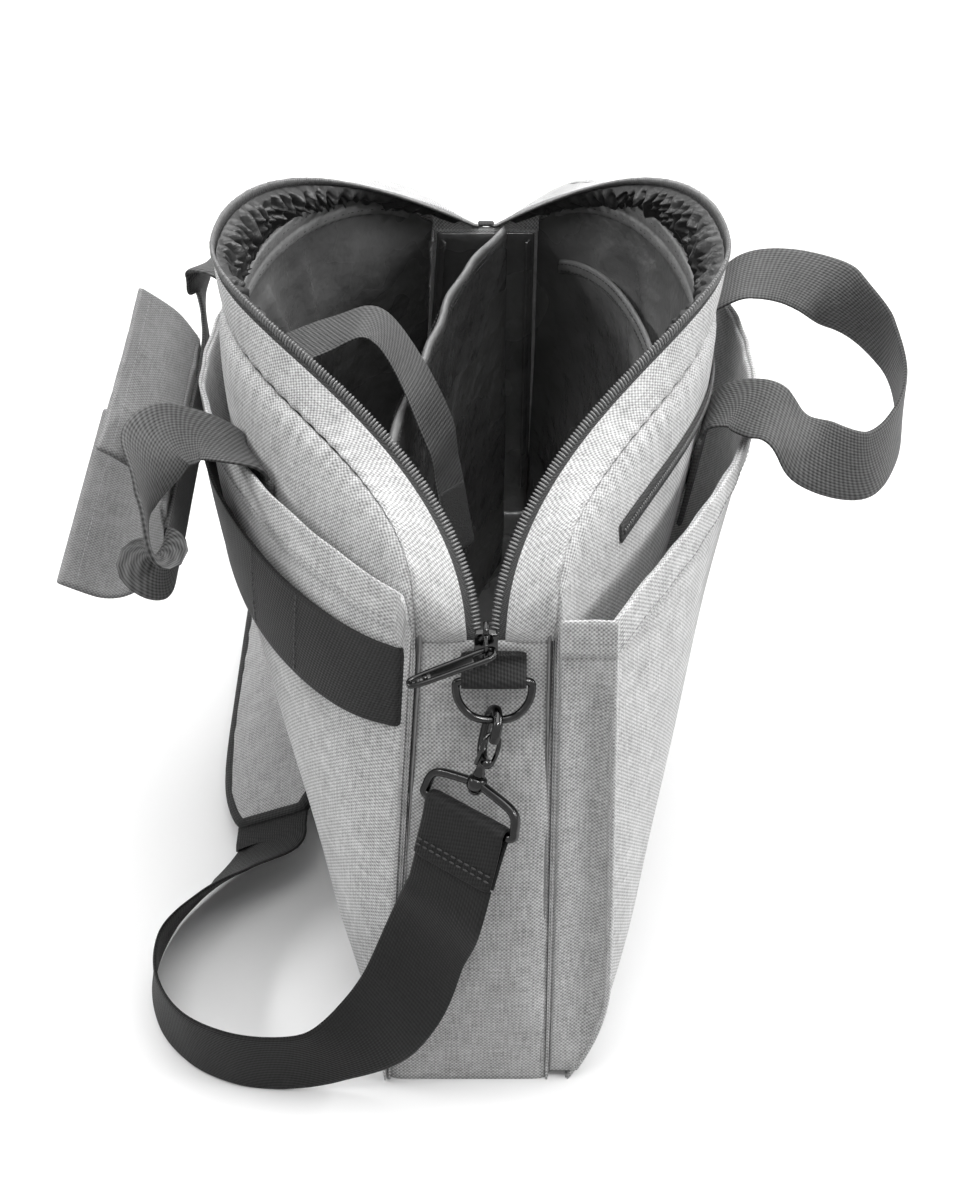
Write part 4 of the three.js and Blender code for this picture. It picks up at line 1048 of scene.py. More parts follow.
for name, side in sides.items():
    k, v = kv(-0.997, 0.997, 0.04, 0.955, 150, 80)
    grid = inside(side, k, v, lining["depth"] + 0 * k)
    ease = smooth(0.04, 0.15, v) * (1 - smooth(0.82, 0.95, v)) * (1 - np.abs(k) ** 8)
    crease = lining["crease"] * folds(grid * (1, 0.4, 0.8), 46, side["seed"])
    slant = grid * (1, 0.3, 0.45) + grid[..., 2:] * (0.35 * side["sign"], 0, 0)
    crease += lining["fold"][name] * folds(slant, 74, side["seed"] + 5)
    crease = crease * ease
    if name == "front":
        room = lerp(2.2, 9.5, np.clip(1 - (k / 0.935) ** 2, 0, 1))
        crease = np.minimum(crease, lerp(room, 9.5, smooth(0.83, 0.88, v)))
    cloth = wallSheet(name + "LiningCloth", side, k, v, lining["depth"] + crease,
                      lining["depth"] + lining["thick"] + crease, look["lining"])
    followMouth(cloth)
    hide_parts(name + "_lining")

    reach = lining["ruffleReach"]
    k, v = kv(-reach, reach, lining["ruffleLow"], lining["ruffleHigh"], 330, 30)
    phase = k * lining["ruffles"] * math.pi
    up = (v - lining["ruffleLow"]) / (lining["ruffleHigh"] - lining["ruffleLow"])
    drift = 2.2 * np.sin(2.3 * k * math.pi) + 0.9 * np.sin(17 * k) + 1.3 * np.sin(41 * k + 2 * up) * up
    wave = np.sin(phase + drift)
    rise = np.sin(np.pi * np.clip(up, 0, 1)) ** 0.6
    crumple = folds(np.stack([k * 150, up * 26, 0 * k], axis=-1), 9, side["seed"] + 3)
    size = 0.55 + 0.45 * np.sin(7.3 * k + side["seed"]) * np.sin(23 * k)
    gather = (0.5 * (wave + 1) * (0.35 + 0.65 * size) + 0.35 * crumple) / 1.2
    sharp = gather ** 1.3 * lining["ruffle"] * 1.7 * rise * (1 - np.abs(k) ** 10)
    sharp = np.minimum(sharp, lining["ruffle"] * 1.25)
    base = lerp(3.3, 1.5, smooth(1.82, 1.87, v))
    ruffle = wallSheet(name + "RuffledLining", side, k, v, base + sharp, base + 0.8 + sharp, look["ruffle"])
    dress(ruffle, mouthOf[name], [name + "_band_lining"])

    reach = lining["stripReach"]
    k, v = kv(-reach, reach, lining["stripLow"], lining["stripHigh"], 160, 17)
    across = (v - lining["stripLow"]) / (lining["stripHigh"] - lining["stripLow"])
    swell = 0.9 * np.abs(np.sin(2 * np.pi * across)) ** 0.7 + 0.25 * np.sin(k * 190)
    strip = wallSheet(name + "SeamStrip", side, k, v, 4.9 + swell, 6.6 + swell, look["seamBand"])
    followMouth(strip)
    rails = []
    for height in lining["stripStitches"]:
        line = np.linspace(-0.94, 0.94, 300)
        rails.append((inside(side, line, np.full_like(line, height), np.full_like(line, 7.3)),
                      -wallNormal(side, line, np.full_like(line, height))))
    row = beadRows(name + "SeamStripStitches", rails, 3.4, (2.5, 0.5, 0.5), look["darkThread"])
    followMouth(row)

low, high = 4.2, bag["zipEndHeight"] - 1.5
path = [(-1, z) for z in np.linspace(high, low, 40)] + [(0, x) for x in np.linspace(-1, 1, 70)[1:-1]]
path += [(1, z) for z in np.linspace(low, high, 40)]
grid = []
for kind, value in path:
    z = low if kind == 0 else value
    w = z / bag["zipEndHeight"]
    x = (value if kind == 0 else kind) * (gussetX(z) - lining["depth"])
    span = (-lerp(front["baseEdge"], bag["gussetTopHalf"], w) + lining["sideGap"],
            lerp(back["baseEdge"], bag["gussetTopHalf"], w) - lining["sideGap"])
    grid.append([(x, lerp(span[0], span[1], t), z) for t in np.linspace(0, 1, 30)])
grid = np.array(grid)
away = np.array([(-kind, 0, 0) if kind else (0, 0, 1) for kind, _ in path], dtype=float)
edge = np.sin(np.pi * np.linspace(0, 1, 30)) ** 0.5
loose = np.array([2.4 if kind else 6.5 for kind, _ in path])
amount = folds(grid, 34, 3.3) * edge[None, :] * loose[:, None]
amount *= smooth(0, 8, np.minimum(np.arange(len(path)), len(path) - 1 - np.arange(len(path))))[:, None]
outer = grid + away[:, None] * amount[..., None]
inner = outer + away[:, None] * 1.0
run = np.concatenate([[0], np.cumsum(np.linalg.norm(np.diff(grid[:, 15], axis=0), axis=1))])
cloth = np.stack(np.broadcast_arrays(grid[..., 1], run[:, None]), axis=-1)
sheet = thickSheet("endAndFloorLining", outer, inner, cloth, look["lining"])
dress(sheet, "shell", ["gusset_lining"])

seams = []
for sign, edges in ((1, back), (-1, front)):
    heights = np.linspace(high - 4, 30, 12)
    across = [lerp(edges["baseEdge"], bag["gussetTopHalf"], z / bag["zipEndHeight"]) - 6.6 for z in heights]
    line = [((gussetX(z) - 6.4, sign * y, z), (-0.7, -0.7 * sign, 0)) for z, y in zip(heights, across)]
    seams.append(ribbonObject("farCornerSeam", line, *lining["cornerSeam"], look["lining"], 60, 0.5,
                              3 + sign))
dress(joined("farCornerSeams", *seams), "shell", ())

print("lining made")

# Divider, inner pocket and laptop strap

divider = {"height": 225, "binding": 5.5, "low": 6.0}
dividerPath = splinePoints([
    (-150, 10, 0), (-95, 32, 0), (-30, 40, 0), (35, 28, 0), (95, 14, 0), (148, -8, 0),
], 180)
dividerOut = tangents(dividerPath)
dividerOut = np.stack([-dividerOut[:, 1], dividerOut[:, 0], np.zeros(len(dividerOut))], axis=1)


def dividerSheet(name, low, high, half, rows, material, quilt=0.0):
    heights = np.linspace(low, high, rows)
    grid = dividerPath[None] + np.stack([np.zeros(rows), np.zeros(rows), heights], axis=1)[:, None]
    top = divider["height"]
    soft = folds(grid, 60, 1.7) * 1.6 * (1 - smooth(top - 40, top - 12, grid[..., 2]))
    swell = half + quilt * np.sin(np.pi * (heights - low) / (high - low))[:, None] ** 0.5
    wander = np.array([noise.noise(Vector((x / 21, 4.4, 0))) for x in dividerPath[:, 0]])
    wander = wander * smooth(160, 215, heights)[:, None]
    grid = grid + dividerOut[None] * (1.4 * wander)[..., None] + (0, 0, 1) * (1.2 * wander)[..., None]
    outer = grid + dividerOut[None] * (swell + soft)[..., None]
    inner = grid - dividerOut[None] * (swell - 0.4 * soft)[..., None]
    run = np.concatenate([[0], np.cumsum(np.linalg.norm(np.diff(dividerPath, axis=0), axis=1))])
    cloth = np.stack(np.broadcast_arrays(run[None], heights[:, None]), axis=-1)
    return thickSheet(name, outer, inner, cloth, material, 0.5)


wall = dividerSheet("dividerPad", divider["low"], divider["height"] - 4, 1.5, 60, look["lining"], 1.4)
dress(wall, "shell", ["divider"])
top = dividerSheet("dividerEdge", divider["height"] - divider["binding"], divider["height"], 1.7, 9,
                   look["binding"], 0.35)
dress(top, "shell", ["divider_binding"])
rails = []
for lift in (-4.3, -1.6):
    for sign in (1, -1):
        line = dividerPath + (0, 0, divider["height"] + lift) + dividerOut * 2.2 * sign
        rails.append((line[2:-2], (dividerOut * sign)[2:-2]))
stitchRow("dividerEdgeStitches", rails, "shell", "darkThread", 3.2, (2.4, 0.5, 0.45))

pocket = {"end": 0.935, "deep": 5.4, "sag": 10.0, "low": 0.25, "binding": 0.028}


def pocketGrid(extra, low, high, columns, rows):
    along = np.sin(np.linspace(-math.pi / 2, math.pi / 2, columns)) * pocket["end"]
    k, t = np.meshgrid(along, np.linspace(0, 1, rows))
    top = lerp(0.74, 0.82, (k + 1) / 2)
    v = lerp(low(top), high(top), t)
    depth = pocket["deep"] + pocket["sag"] * (1 - (k / pocket["end"]) ** 2) + extra
    return k, v, depth


k, v, depth = pocketGrid(0.3, lambda top: pocket["low"] + 0 * top, lambda top: top - 0.01, 110, 50)
crease = folds(wallPoint(front, k, v) * (1, 0.4, 0.7), 40, 8.8)
crease = crease * 2.4 * np.sin(np.pi * (k / pocket["end"] + 1) / 2)
sheet = wallSheet("innerPocketCloth", front, k, v, depth + crease, depth + crease + 0.9, look["lining"])
dress(sheet, "shell", ["inner_pocket"])
k, v, depth = pocketGrid(0.0, lambda top: top - pocket["binding"], lambda top: top, 110, 6)
roll = 0.7 * np.sin(np.pi * (v - v.min(axis=0)) / np.ptp(v, axis=0))
sheet = wallSheet("innerPocketEdge", front, k, v, depth - 0.3 - roll * 0.5, depth + 1.5 + roll * 0.5,
                  look["binding"], 0.5)
dress(sheet, "shell", ["inner_pocket_binding"])
rails = []
for share in (1, 4):
    rails.append((inside(front, k[share], v[share], depth[share] + 2.0),
                  -wallNormal(front, k[share], v[share])))
stitchRow("innerPocketStitches", rails, "shell", "darkThread", 3.2, (2.4, 0.5, 0.45))

hangingWay = np.array([-12, -5, -25.0])
hangingWay /= np.linalg.norm(hangingWay)


def hanging(drop):
    return (np.array([-14, 20, 214]) + hangingWay * drop, (0.93, -0.3, 0.15))


laptopStations = [
    ((-2, 106.2, 238), (1, 0, 0)), ((-2, 104.5, 242), (1, 0, 0)), ((-1, 92, 247.5), (1, 0, 0.1)),
    ((4, 70, 255), (1, -0.1, 0.1)), ((8, 53, 259.5), (1, -0.2, 0)), ((8, 46, 257), (1, -0.2, 0)),
    ((2, 33, 239), (1, -0.3, 0)),
    hanging(0), hanging(15), hanging(22), hanging(50),
]
strap = ribbonObject("laptopWebbing", laptopStations, 25, 1.5, look["handle"], 130, 0.8, 2)
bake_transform(strap)
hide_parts("laptop_strap")
patch = ribbonObject("laptopStrapPile", [hanging(23.5), hanging(30), hanging(51)], 23.6, 3.0,
                     look["pile"], 24)
dress(patch, "laptop_strap", ["laptop_strap_patch"])

print("interior made")

# Slip pocket and luggage band on the back

slip = {"ease": 8.0, "thick": 1.4, "hem": 0.06, "height": 242.4, "corner": 0.9995, "reach": 1.4}


def seamHeight(k):
    return seamPoint(back, k)[..., 2]


def pocketEase(k, v):
    return 0.3 + slip["ease"] * (1 - np.abs(k) ** 8) * np.minimum(1, v / 0.2)


def pocketTop(k):
    return np.minimum(slip["height"] / seamHeight(k), 0.99)


def slipSheet(name, low, high, extra, thick, rows):
    k, t = kv(-slip["corner"], slip["corner"], 0, 1, 200, rows)
    v = lerp(low(k), high(k), t)
    ripple = 0.35 * np.sin(k * 40 + 6 * v) * smooth(0.5, 0.9, v) * (1 - k ** 6)
    thin = 1 - 0.55 * smooth(0.975, 1.0, np.abs(k))
    outer = outside(back, k, v, pocketEase(k, v) + (thick + extra) * thin + ripple)
    inner = outside(back, k, v, pocketEase(k, v) + extra * thin + ripple)
    end = slip["reach"] * np.sign(k) * smooth(0.97, 1.0, np.abs(k))
    outer[..., 0] += end
    inner[..., 0] += end
    return thickSheet(name, outer, inner, clothOf(outer), look["heather"], 0.3, True)


sheet = slipSheet("slipPocketCloth", lambda k: 0.004 + 0 * k, pocketTop, 0.0, slip["thick"], 80)
followMouth(sheet)
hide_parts("slip_pocket")
hem = slipSheet("slipPocketHem", lambda k: pocketTop(k) - slip["hem"], lambda k: pocketTop(k) + 0.004,
                slip["thick"] - 0.2, 1.3, 8)
followMouth(hem)
line = np.linspace(-0.975, 0.975, 400)
level = pocketTop(line) - slip["hem"] + 0.012
facing = np.stack([0 * line, 0 * line + 1, 0 * line], axis=1)
rail = outside(back, line, level, pocketEase(line, level) + 2.8)
row = beadRows("slipPocketStitches", [(rail, facing)], 3.4, (2.6, 0.5, 0.45), look["greyThread"])
followMouth(row)

belt = {"thick": 1.6, "columns": 200, "low": (172, 187), "high": (213, 221)}


def beltGrid(extra):
    k, t = kv(-slip["corner"], slip["corner"], 0, 1, belt["columns"], 16)
    low = lerp(*belt["low"], np.abs(k) ** 5) / seamHeight(k)
    high = np.minimum(lerp(*belt["high"], np.abs(k) ** 5) / seamHeight(k), 0.985)
    ease = pocketEase(k, 1) + slip["thick"] + 2 * (1 - k * k) ** 3
    ease = ease + 1.2 * (1 - 0.9 * smooth(0.97, 1.0, np.abs(k)))
    edge = 0.25 * smooth(0.86, 0.95, np.abs(2 * t - 1))
    grid = outside(back, k, lerp(low, high, t), ease + extra + edge)
    grid[..., 0] += slip["reach"] * np.sign(k) * smooth(0.97, 1.0, np.abs(k))
    return grid


outer = beltGrid(belt["thick"])
step = np.linalg.norm(np.diff(outer, axis=0), axis=2)
rise = np.concatenate([np.zeros((1, outer.shape[1])), np.cumsum(step, axis=0)])
run = np.concatenate([[0], np.cumsum(np.linalg.norm(np.diff(outer[8], axis=0), axis=1))])
cloth = np.stack(np.broadcast_arrays(rise * 38 / rise[-1], run[None]), axis=-1)
sheet = thickSheet("luggageWebbing", outer, beltGrid(0.0), cloth, look["band"])
followMouth(sheet)
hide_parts("luggage_band")
rails = []
grid = beltGrid(belt["thick"] + 0.5)
for x in (-120, -90, 90, 120):
    column = int(np.argmin(np.abs(grid[8, :, 0] - x)))
    rails.append((grid[1:-1, column], np.tile((0.0, 1.0, 0.0), (len(grid) - 2, 1))))
row = beadRows("luggageStitches", rails, 2.8, (2.2, 0.6, 0.5), look["bandThread"])
followMouth(row)

# Bellows pocket on the front

bellows = {
    "deep": 23.0, "thick": 2.0, "hem": 0.06, "corner": 0.995, "top": (235.5, 231),
    "lift": 16.0,               # how far the foot is drawn in
    "pleat": 3.4,
    "floorReach": 0.955,
}
frontZip = {"near": -0.72, "far": 0.79, "low": 0.884, "high": 0.912, "out": (0.4, 1.3)}


def bellowsOut(v):
    # The foot of the pocket is drawn in towards the base
    return bellows["deep"] - 4 * v - bellows["lift"] * (1 - np.clip(v / 0.24, 0, 1)) ** 2


def bellowsTop(k):
    # The hem runs level to the corners
    return np.minimum(lerp(*bellows["top"], np.abs(k) ** 6) / seamHeight(k), 0.992)


def bellowsGrid(extra, low, high, rows, columns=200):
    k, share = kv(-bellows["corner"], bellows["corner"], low, high, columns, rows)
    v = share * bellowsTop(k)
    soft = 0.8 * np.sin(7 * k + 5 * v) * np.sin(6 * v + 1) * (1 - k ** 8) * smooth(0, 0.15, v)
    ripple = 0.3 * np.sin(k * 46) * smooth(0.7, 0.85, v) * (1 - k ** 6)
    slim = 1 - 0.8 * smooth(0.955, 0.99, np.abs(k))
    return outside(front, k, v, bellowsOut(v) + min(extra, bellows["thick"])
                   + max(extra - bellows["thick"], 0) * slim + soft + ripple)


outer = bellowsGrid(bellows["thick"], 0.0, 1.0, 80)
inner = bellowsGrid(0.0, 0.0, 1.0, 80)
sheet = thickSheet("bellowsWallCloth", outer, inner, clothOf(outer), look["heather"])
dress(sheet, "shell", ["bellows_pocket_wall"])
outer = bellowsGrid(bellows["thick"] + 1.5, 1 - bellows["hem"], 1.006, 8)
inner = bellowsGrid(bellows["thick"] - 0.2, 1 - bellows["hem"], 1.006, 8)
sheet = thickSheet("bellowsHemCloth", outer, inner, clothOf(outer), look["heather"])
dress(sheet, "shell", ["bellows_pocket_hem"])
line = bellowsGrid(bellows["thick"] + 1.7, 1.01 - bellows["hem"], 1.0, 2, 400)[0]
facing = np.tile((0.0, -1.0, 0.0), (394, 1))
stitchRow("bellowsHemStitches", [(line[3:-3], facing)], "shell", "greyThread", 3.4, (2.6, 0.5, 0.45))

for name, end in (("near", -1), ("far", 1)):
    top = float(bellowsTop(bellows["corner"]))
    for part, low, high, rows, proud, wall in (
        ("Cloth", 0.02, top, 70, 0.4, 1.9), ("Hem", top * (1 - bellows["hem"]), top * 1.006, 8, 1.5, 1.2),
    ):
        v, t = np.meshgrid(np.linspace(low, high, rows), np.linspace(0, 1, 30), indexing="ij")
        reach = bellowsOut(v) + bellows["thick"] - 0.2
        pleat = np.where(t < 0.6, smooth(0, 0.6, t), 1 - smooth(0.6, 1.0, t))
        pleat = pleat * bellows["pleat"] * smooth(0.02, 0.2, v)
        pleat *= 1 - 0.85 * smooth(top - 0.2, top - 0.06, v)
        grid = outside(front, np.full_like(v, end * bellows["corner"]), v, 0.6 + reach * t)
        outer = grid.copy()
        outer[..., 0] -= end * (pleat - proud)
        inner = outer.copy()
        inner[..., 0] -= end * wall
        cloth = np.stack([reach * t, grid[..., 2]], axis=-1)
        sheet = thickSheet(name + "Bellows" + part, outer, inner, cloth, look["heather"])
        dress(sheet, "shell", [name + "_bellows"] if part == "Cloth" else ())

k, t = kv(-bellows["floorReach"], bellows["floorReach"], 0, 1, 90, 10)
edge = -(front["baseEdge"] + 3 * (1 - k * k))
reach = bellows["deep"] - bellows["lift"] - 1
outer = np.stack([bag["baseHalf"] * k, edge - 1.2 - t * reach, 0 * k], axis=-1)
sheet = thickSheet("bellowsFloorCloth", outer, outer + (0, 0, 2), outer[..., :2], look["heather"])
dress(sheet, "shell", ["bellows_pocket_floor"])

k, v = kv(frontZip["near"], frontZip["far"], frontZip["low"], frontZip["high"], 120, 5)
inner, outer = (outside(front, k, v, out) for out in frontZip["out"])
sheet = thickSheet("frontZipTape", outer, inner, clothOf(outer), look["tape"])
followMouth(sheet)
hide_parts("front_pocket_zip")
line = np.linspace(frontZip["near"] + 0.01, frontZip["far"] - 0.01, 400)
facing = np.tile((0.0, -1.0, 0.0), (400, 1))
rail = outside(front, line, np.full_like(line, (frontZip["low"] + frontZip["high"]) / 2), 1.5)
row = beadRows("frontZipCoil", [(rail, facing)], 1.4, (1.1, 3.4, 1.4), look["coil"])
followMouth(row)

print("pockets made")


# Zip slider, pull and far stop

zipEnd = {
    "x": -158.2, "z": 224.0, "bar": -164.9, "length": 31.0, "half": 2.7,
    "turn": -17, "tilt": 12,    # how the pull hangs, in degrees
}


def bevelledCopy(name, node, width, material, segments=2):
    # A copy of a CAD part with its edges rounded
    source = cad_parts[node].data.copy()
    copy = bpy.data.objects.new(name, source)
    scene.collection.objects.link(copy)
    weld = copy.modifiers.new("weld", "WELD")
    weld.merge_threshold = 0.00001
    flat = copy.modifiers.new("flat", "DECIMATE")
    flat.decimate_type = "DISSOLVE"
    flat.angle_limit = math.radians(1.5)
    bevel = copy.modifiers.new("bevel", "BEVEL")
    bevel.width = width / 1000
    bevel.segments = segments
    bevel.limit_method = "ANGLE"
    bevel.angle_limit = math.radians(30)
    bpy.context.view_layer.update()
    made = bpy.data.meshes.new_from_object(copy.evaluated_get(bpy.context.evaluated_depsgraph_get()))
    bpy.data.objects.remove(copy)
    made.materials.clear()
    made.materials.append(material)
    made.shade_smooth()
    made.set_sharp_from_angle(angle=math.radians(40))
    obj = bpy.data.objects.new(name, made)
    scene.collection.objects.link(obj)
    return obj


def turned(name, profile, sides, material):
    # A turned form on the local Z axis, from pairs of radius and height
    turns = np.arange(sides) * 2 * math.pi / sides
    rings = [[(r * math.cos(t), r * math.sin(t), z) for t in turns] for r, z in profile]
    return loftRings(name, rings, material)


slider = bevelledCopy("zipSliderBody", "zip_slider", 0.9, look["nickel"], 3)
dress(slider, "shell", ["zip_slider"])
bridge = rodObject("zipSliderBridge", [
    (zipEnd["x"] - 1.0, 0, zipEnd["z"] + 5.4), (zipEnd["x"] - 1.4, 0, zipEnd["z"] + 7.2),
    (zipEnd["x"] + 1.2, 0, zipEnd["z"] + 8.4), (zipEnd["x"] + 3.0, 0, zipEnd["z"] + 6.4),
], 1.15, look["nickel"], 12, 24, square=1.6)
dress(bridge, "shell", ())

half = zipEnd["half"]
long = zipEnd["length"]
pullFrame = (Matrix.Translation((zipEnd["bar"], 0, zipEnd["z"]))
             @ Matrix.Rotation(math.radians(zipEnd["turn"]), 4, "X")
             @ Matrix.Rotation(math.radians(zipEnd["tilt"]), 4, "Z"))
loop = rodObject("pullLoop", [
    (half, -1, 0), (0, -3.4, 0), (-half, -1, 0), (-half, long * 0.4, 0), (-half * 0.8, long - 3, 0),
    (0, long, 0), (half * 0.8, long - 3, 0), (half, long * 0.4, 0),
], 1.0, look["nickel"], 12, 96, True, square=1.8)
plate = rodObject("pullPlate", [(0, 5.2, 0), (0, 12, 0), (0, 20, 0), (0, long - 9, 0)], 1.0,
                  look["nickel"], 12, 30, square=3)
for vertex in plate.data.vertices:
    vertex.co.x *= 2.5
    vertex.co.z *= 0.55
rivet = turned("pullRivet", [(0.4, -0.95), (1.0, -0.8), (1.15, 0), (1.0, 0.8), (0.4, 0.95)], 14,
               look["nickel"])
rivet.data.transform(Matrix.Translation((0, (long - 6.5) / 1000, 0)))
pull = place(joined("zipPullLoop", loop, plate, rivet), pullFrame)
dress(pull, "zip_pull", ["zip_pull"])

grid = np.array([[(lerp(153.0, 158.5, a), y, 224.0 - 1.6 * a ** 2) for y in np.linspace(-3.4, 3.4, 14)]
                 for a in np.linspace(0, 1, 12)])
sheet = thickSheet("farZipStopCloth", grid + (0, 0, 1.0), grid - (0, 0, 0.6), grid[..., 1::-1],
                   look["tape"])
dress(sheet, "shell", ["far_zip_stop"])

# Tabs, D-rings, swivel hooks and strap rings

ringSet = {
    "barZ": 208.5, "barOut": 5.2, "wire": 1.6, "inside": 13.0, "drop": 16.0, "gap": 0.35,
    "hookWire": 1.9, "gateWire": 0.9, "hookHalf": 6.4, "hookLength": 17.0, "shank": -24.0,
    "collarLow": -30.0, "collar": 3.9, "bar": -42.0, "strapRingHalf": 21.6, "tab": 25.0, "tabThick": 1.1,
}
strapSet = {"width": 38.0, "thick": 1.8, "handle": 30.0, "handleThick": 2.4}
hangs = {
    "near": {"end": -1, "y": -3, "out": 24, "lean": 14, "hookYaw": -76, "ringYaw": -35},
    "far": {"end": 1, "y": 0, "out": 24, "lean": 0, "hookYaw": 60, "ringYaw": 20},
}
endFrames = {}


def tabStations(bar, end):
    rs = ringSet
    radius = rs["wire"] + rs["gap"] + rs["tabThick"] / 2
    stations = []

    def add(out, z):
        stations.append(((bar[0] + end * out, bar[1], bar[2] + z), (0, 1, 0)))

    def onGusset(z):
        return 0.3 + rs["tabThick"] / 2 - rs["barOut"] - gussetTilt * z

    layer = rs["tabThick"] + 0.2
    add(onGusset(9) + layer, 9)
    add(onGusset(6) + layer, 6)
    for i in range(9):
        turn = lerp(0.35, -1.1, i / 8) * math.pi
        add(radius * math.cos(turn), radius * math.sin(turn))
    add(onGusset(6), 6)
    add(onGusset(9), 9)
    return stations


def strapEndStations():
    radius = 1.7 + ringSet["gap"] + strapSet["thick"] / 2
    low = ringSet["bar"]
    stations = [((-1.4, 0, low - 24), (0, 1, 0)), ((-1.9, 0, low - 8), (0, 1, 0))]
    for i in range(9):
        turn = lerp(1.1, -0.1, i / 8) * math.pi
        stations.append(((radius * math.cos(turn), 0, low + radius * math.sin(turn)), (0, 1, 0)))
    stations += [((1.9, 0, low - 8), (0, 1, 0)), ((1.4, 0, low - 24), (0, 1, 0))]
    return stations


for name, hang in hangs.items():
    rs = ringSet
    end = hang["end"]
    bar = (end * (gussetX(rs["barZ"]) + rs["barOut"]), hang["y"], rs["barZ"])
    tab = ribbonObject(name + "TabWebbing", tabStations(bar, end), rs["tab"], rs["tabThick"],
                       look["band"], 90)
    dress(tab, "shell", [name + "_tab"])
    chain = Matrix.Translation(bar) @ Matrix.Rotation(end * math.atan2(-hang["out"], 57), 4, "Y")
    reach = rs["inside"] + rs["wire"]
    drop = rs["drop"]
    ring = rodObject(name + "DRingWire", [
        (0, -reach + 2, 0), (0, 0, 0), (0, reach - 2, 0), (0, reach, -2.5), (0, reach - 1.5, -9),
        (0, reach * 0.55, -drop + 1.5), (0, 0, -drop), (0, -reach * 0.55, -drop + 1.5),
        (0, -reach + 1.5, -9),
        (0, -reach, -2.5),
    ], rs["wire"], look["nickel"], 16, 120, True)
    dress(place(ring, chain), name + "_d_ring", [name + "_d_ring"])

    hookFrame = (chain @ Matrix.Translation((0, 0, -drop))
                 @ Matrix.Rotation(math.radians(hang["lean"]), 4, "X")
                 @ Matrix.Rotation(math.radians(hang["hookYaw"]), 4, "Z"))
    top = rs["wire"] + rs["hookWire"] + rs["gap"] + 0.3
    hw = rs["hookHalf"]
    hl = rs["hookLength"]
    wire = rodObject("hookWire", [
        (0, -hw, -6), (0, -hw, -3), (0, -hw * 0.8, 1.2), (0, 0, top), (0, hw * 0.85, 0.8), (0, hw, -6),
        (0, hw * 0.75, -hl + 3), (0, 0, -hl), (0, -hw, -hl + 1),
    ], rs["hookWire"], look["nickel"], 16, 90, square=1.35)
    shank = turned("hookShank", [
        (2.0, -hl + 0.6), (2.35, -hl), (2.0, -hl - 2.2), (1.75, -hl - 4),
        (2.3, rs["shank"] + 1.2), (2.3, rs["shank"]),
    ], 16, look["nickel"])
    foot = rs["collarLow"]
    pin = turned("hookPin", [
        (1.4, rs["shank"] + 0.4), (1.4, foot - 0.5), (2.3, foot - 0.4), (2.6, foot - 0.8),
        (2.3, foot - 1.5), (1.2, foot - 1.7),
    ], 16, look["nickel"])
    hook = place(joined(name + "HookBody", wire, shank, pin), hookFrame)
    dress(hook, name + "_hook", [name + "_hook"])

    foot = -hl - 1
    legX = rs["hookWire"] + rs["gateWire"] + rs["gap"]
    noseY = -hw + rs["hookWire"] + rs["gateWire"] + rs["gap"]
    gate = rodObject(name + "GateWire", [
        (legX, -2, foot), (legX, -4.4, -11.5), (legX * 0.95, noseY - 0.8, -7),
        (legX * 0.6, noseY - 0.1, -5.2), (0, noseY, -4.6), (-legX * 0.6, noseY - 0.1, -5.2),
        (-legX * 0.95, noseY - 0.8, -7), (-legX, -4.4, -11.5), (-legX, -2, foot),
    ], rs["gateWire"], look["nickel"], 12, 70)
    dress(place(gate, hookFrame), name + "_hook_gate", [name + "_hook_gate"])

    ringFrame = hookFrame @ Matrix.Rotation(math.radians(hang["ringYaw"] - hang["hookYaw"]), 4, "Z")
    low = rs["collarLow"]
    reach = rs["strapRingHalf"]
    pentagon = rodObject("strapRingFrame", [
        (0, 0, low + 2.6), (0, -rs["collar"] - 2, low + 2), (0, -reach + 3, low - 1.2),
        (0, -reach, rs["bar"] + 4),
        (0, -reach + 2, rs["bar"]), (0, 0, rs["bar"]), (0, reach - 2, rs["bar"]), (0, reach, rs["bar"] + 4),
        (0, reach - 3, low - 1.2), (0, rs["collar"] + 2, low + 2),
    ], 1.62, look["nickel"], 16, 150, True, square=2.6)
    collar = turned("strapRingCollar", [
        (1.9, rs["shank"] - 0.4), (3.1, rs["shank"] - 0.5), (rs["collar"], rs["shank"] - 1.3),
        (rs["collar"], low + 1.0), (3.3, low + 0.1), (1.9, low),
    ], 18, look["nickel"])
    frameRing = place(joined(name + "StrapRingFrame", pentagon, collar), ringFrame)
    dress(frameRing, name + "_strap_ring", [name + "_strap_ring"])

    stations = strapEndStations()
    sewn = ribbonObject(name + "StrapEndWebbing", stations, strapSet["width"], strapSet["thick"],
                        look["strap"], 110)
    dress(place(sewn, ringFrame), name + "_strap_ring", [name + "_strap_end"])
    rails = []
    for drop in (-17.5, -20.0):
        for sign in (1, -1):
            line = np.array([(sign * 2.75, y, rs["bar"] + drop) for y in np.linspace(-17, 17, 40)])
            rails.append((line, np.tile((float(sign), 0.0, 0.0), (40, 1))))
    row = beadRows(name + "StrapEndStitches", rails, 3.2, (2.6, 0.9, 0.6), look["darkThread"])
    dress(place(row, ringFrame), name + "_strap_ring", ())
    endFrames[name] = ringFrame

print("hardware made")


# Shoulder strap and its pad

padSet = {
    "y": 105.0, "tilt": math.radians(22), "start": -62.0, "length": 235.0, "width": 60.0, "crown": 4.0,
}
padAcross = np.array([0, math.cos(padSet["tilt"]), -math.sin(padSet["tilt"])])
padUp = np.cross((1, 0, 0), padAcross)
padLift = (padSet["width"] / 2) * math.sin(padSet["tilt"]) + 5.2
padEnd = padSet["start"] + padSet["length"]
strapLevel = strapSet["width"] / 2 + 0.2


def fromEnd(name, out, y, drop):
    return tuple(endFrames[name] @ Vector((out, y, ringSet["bar"] + drop)))


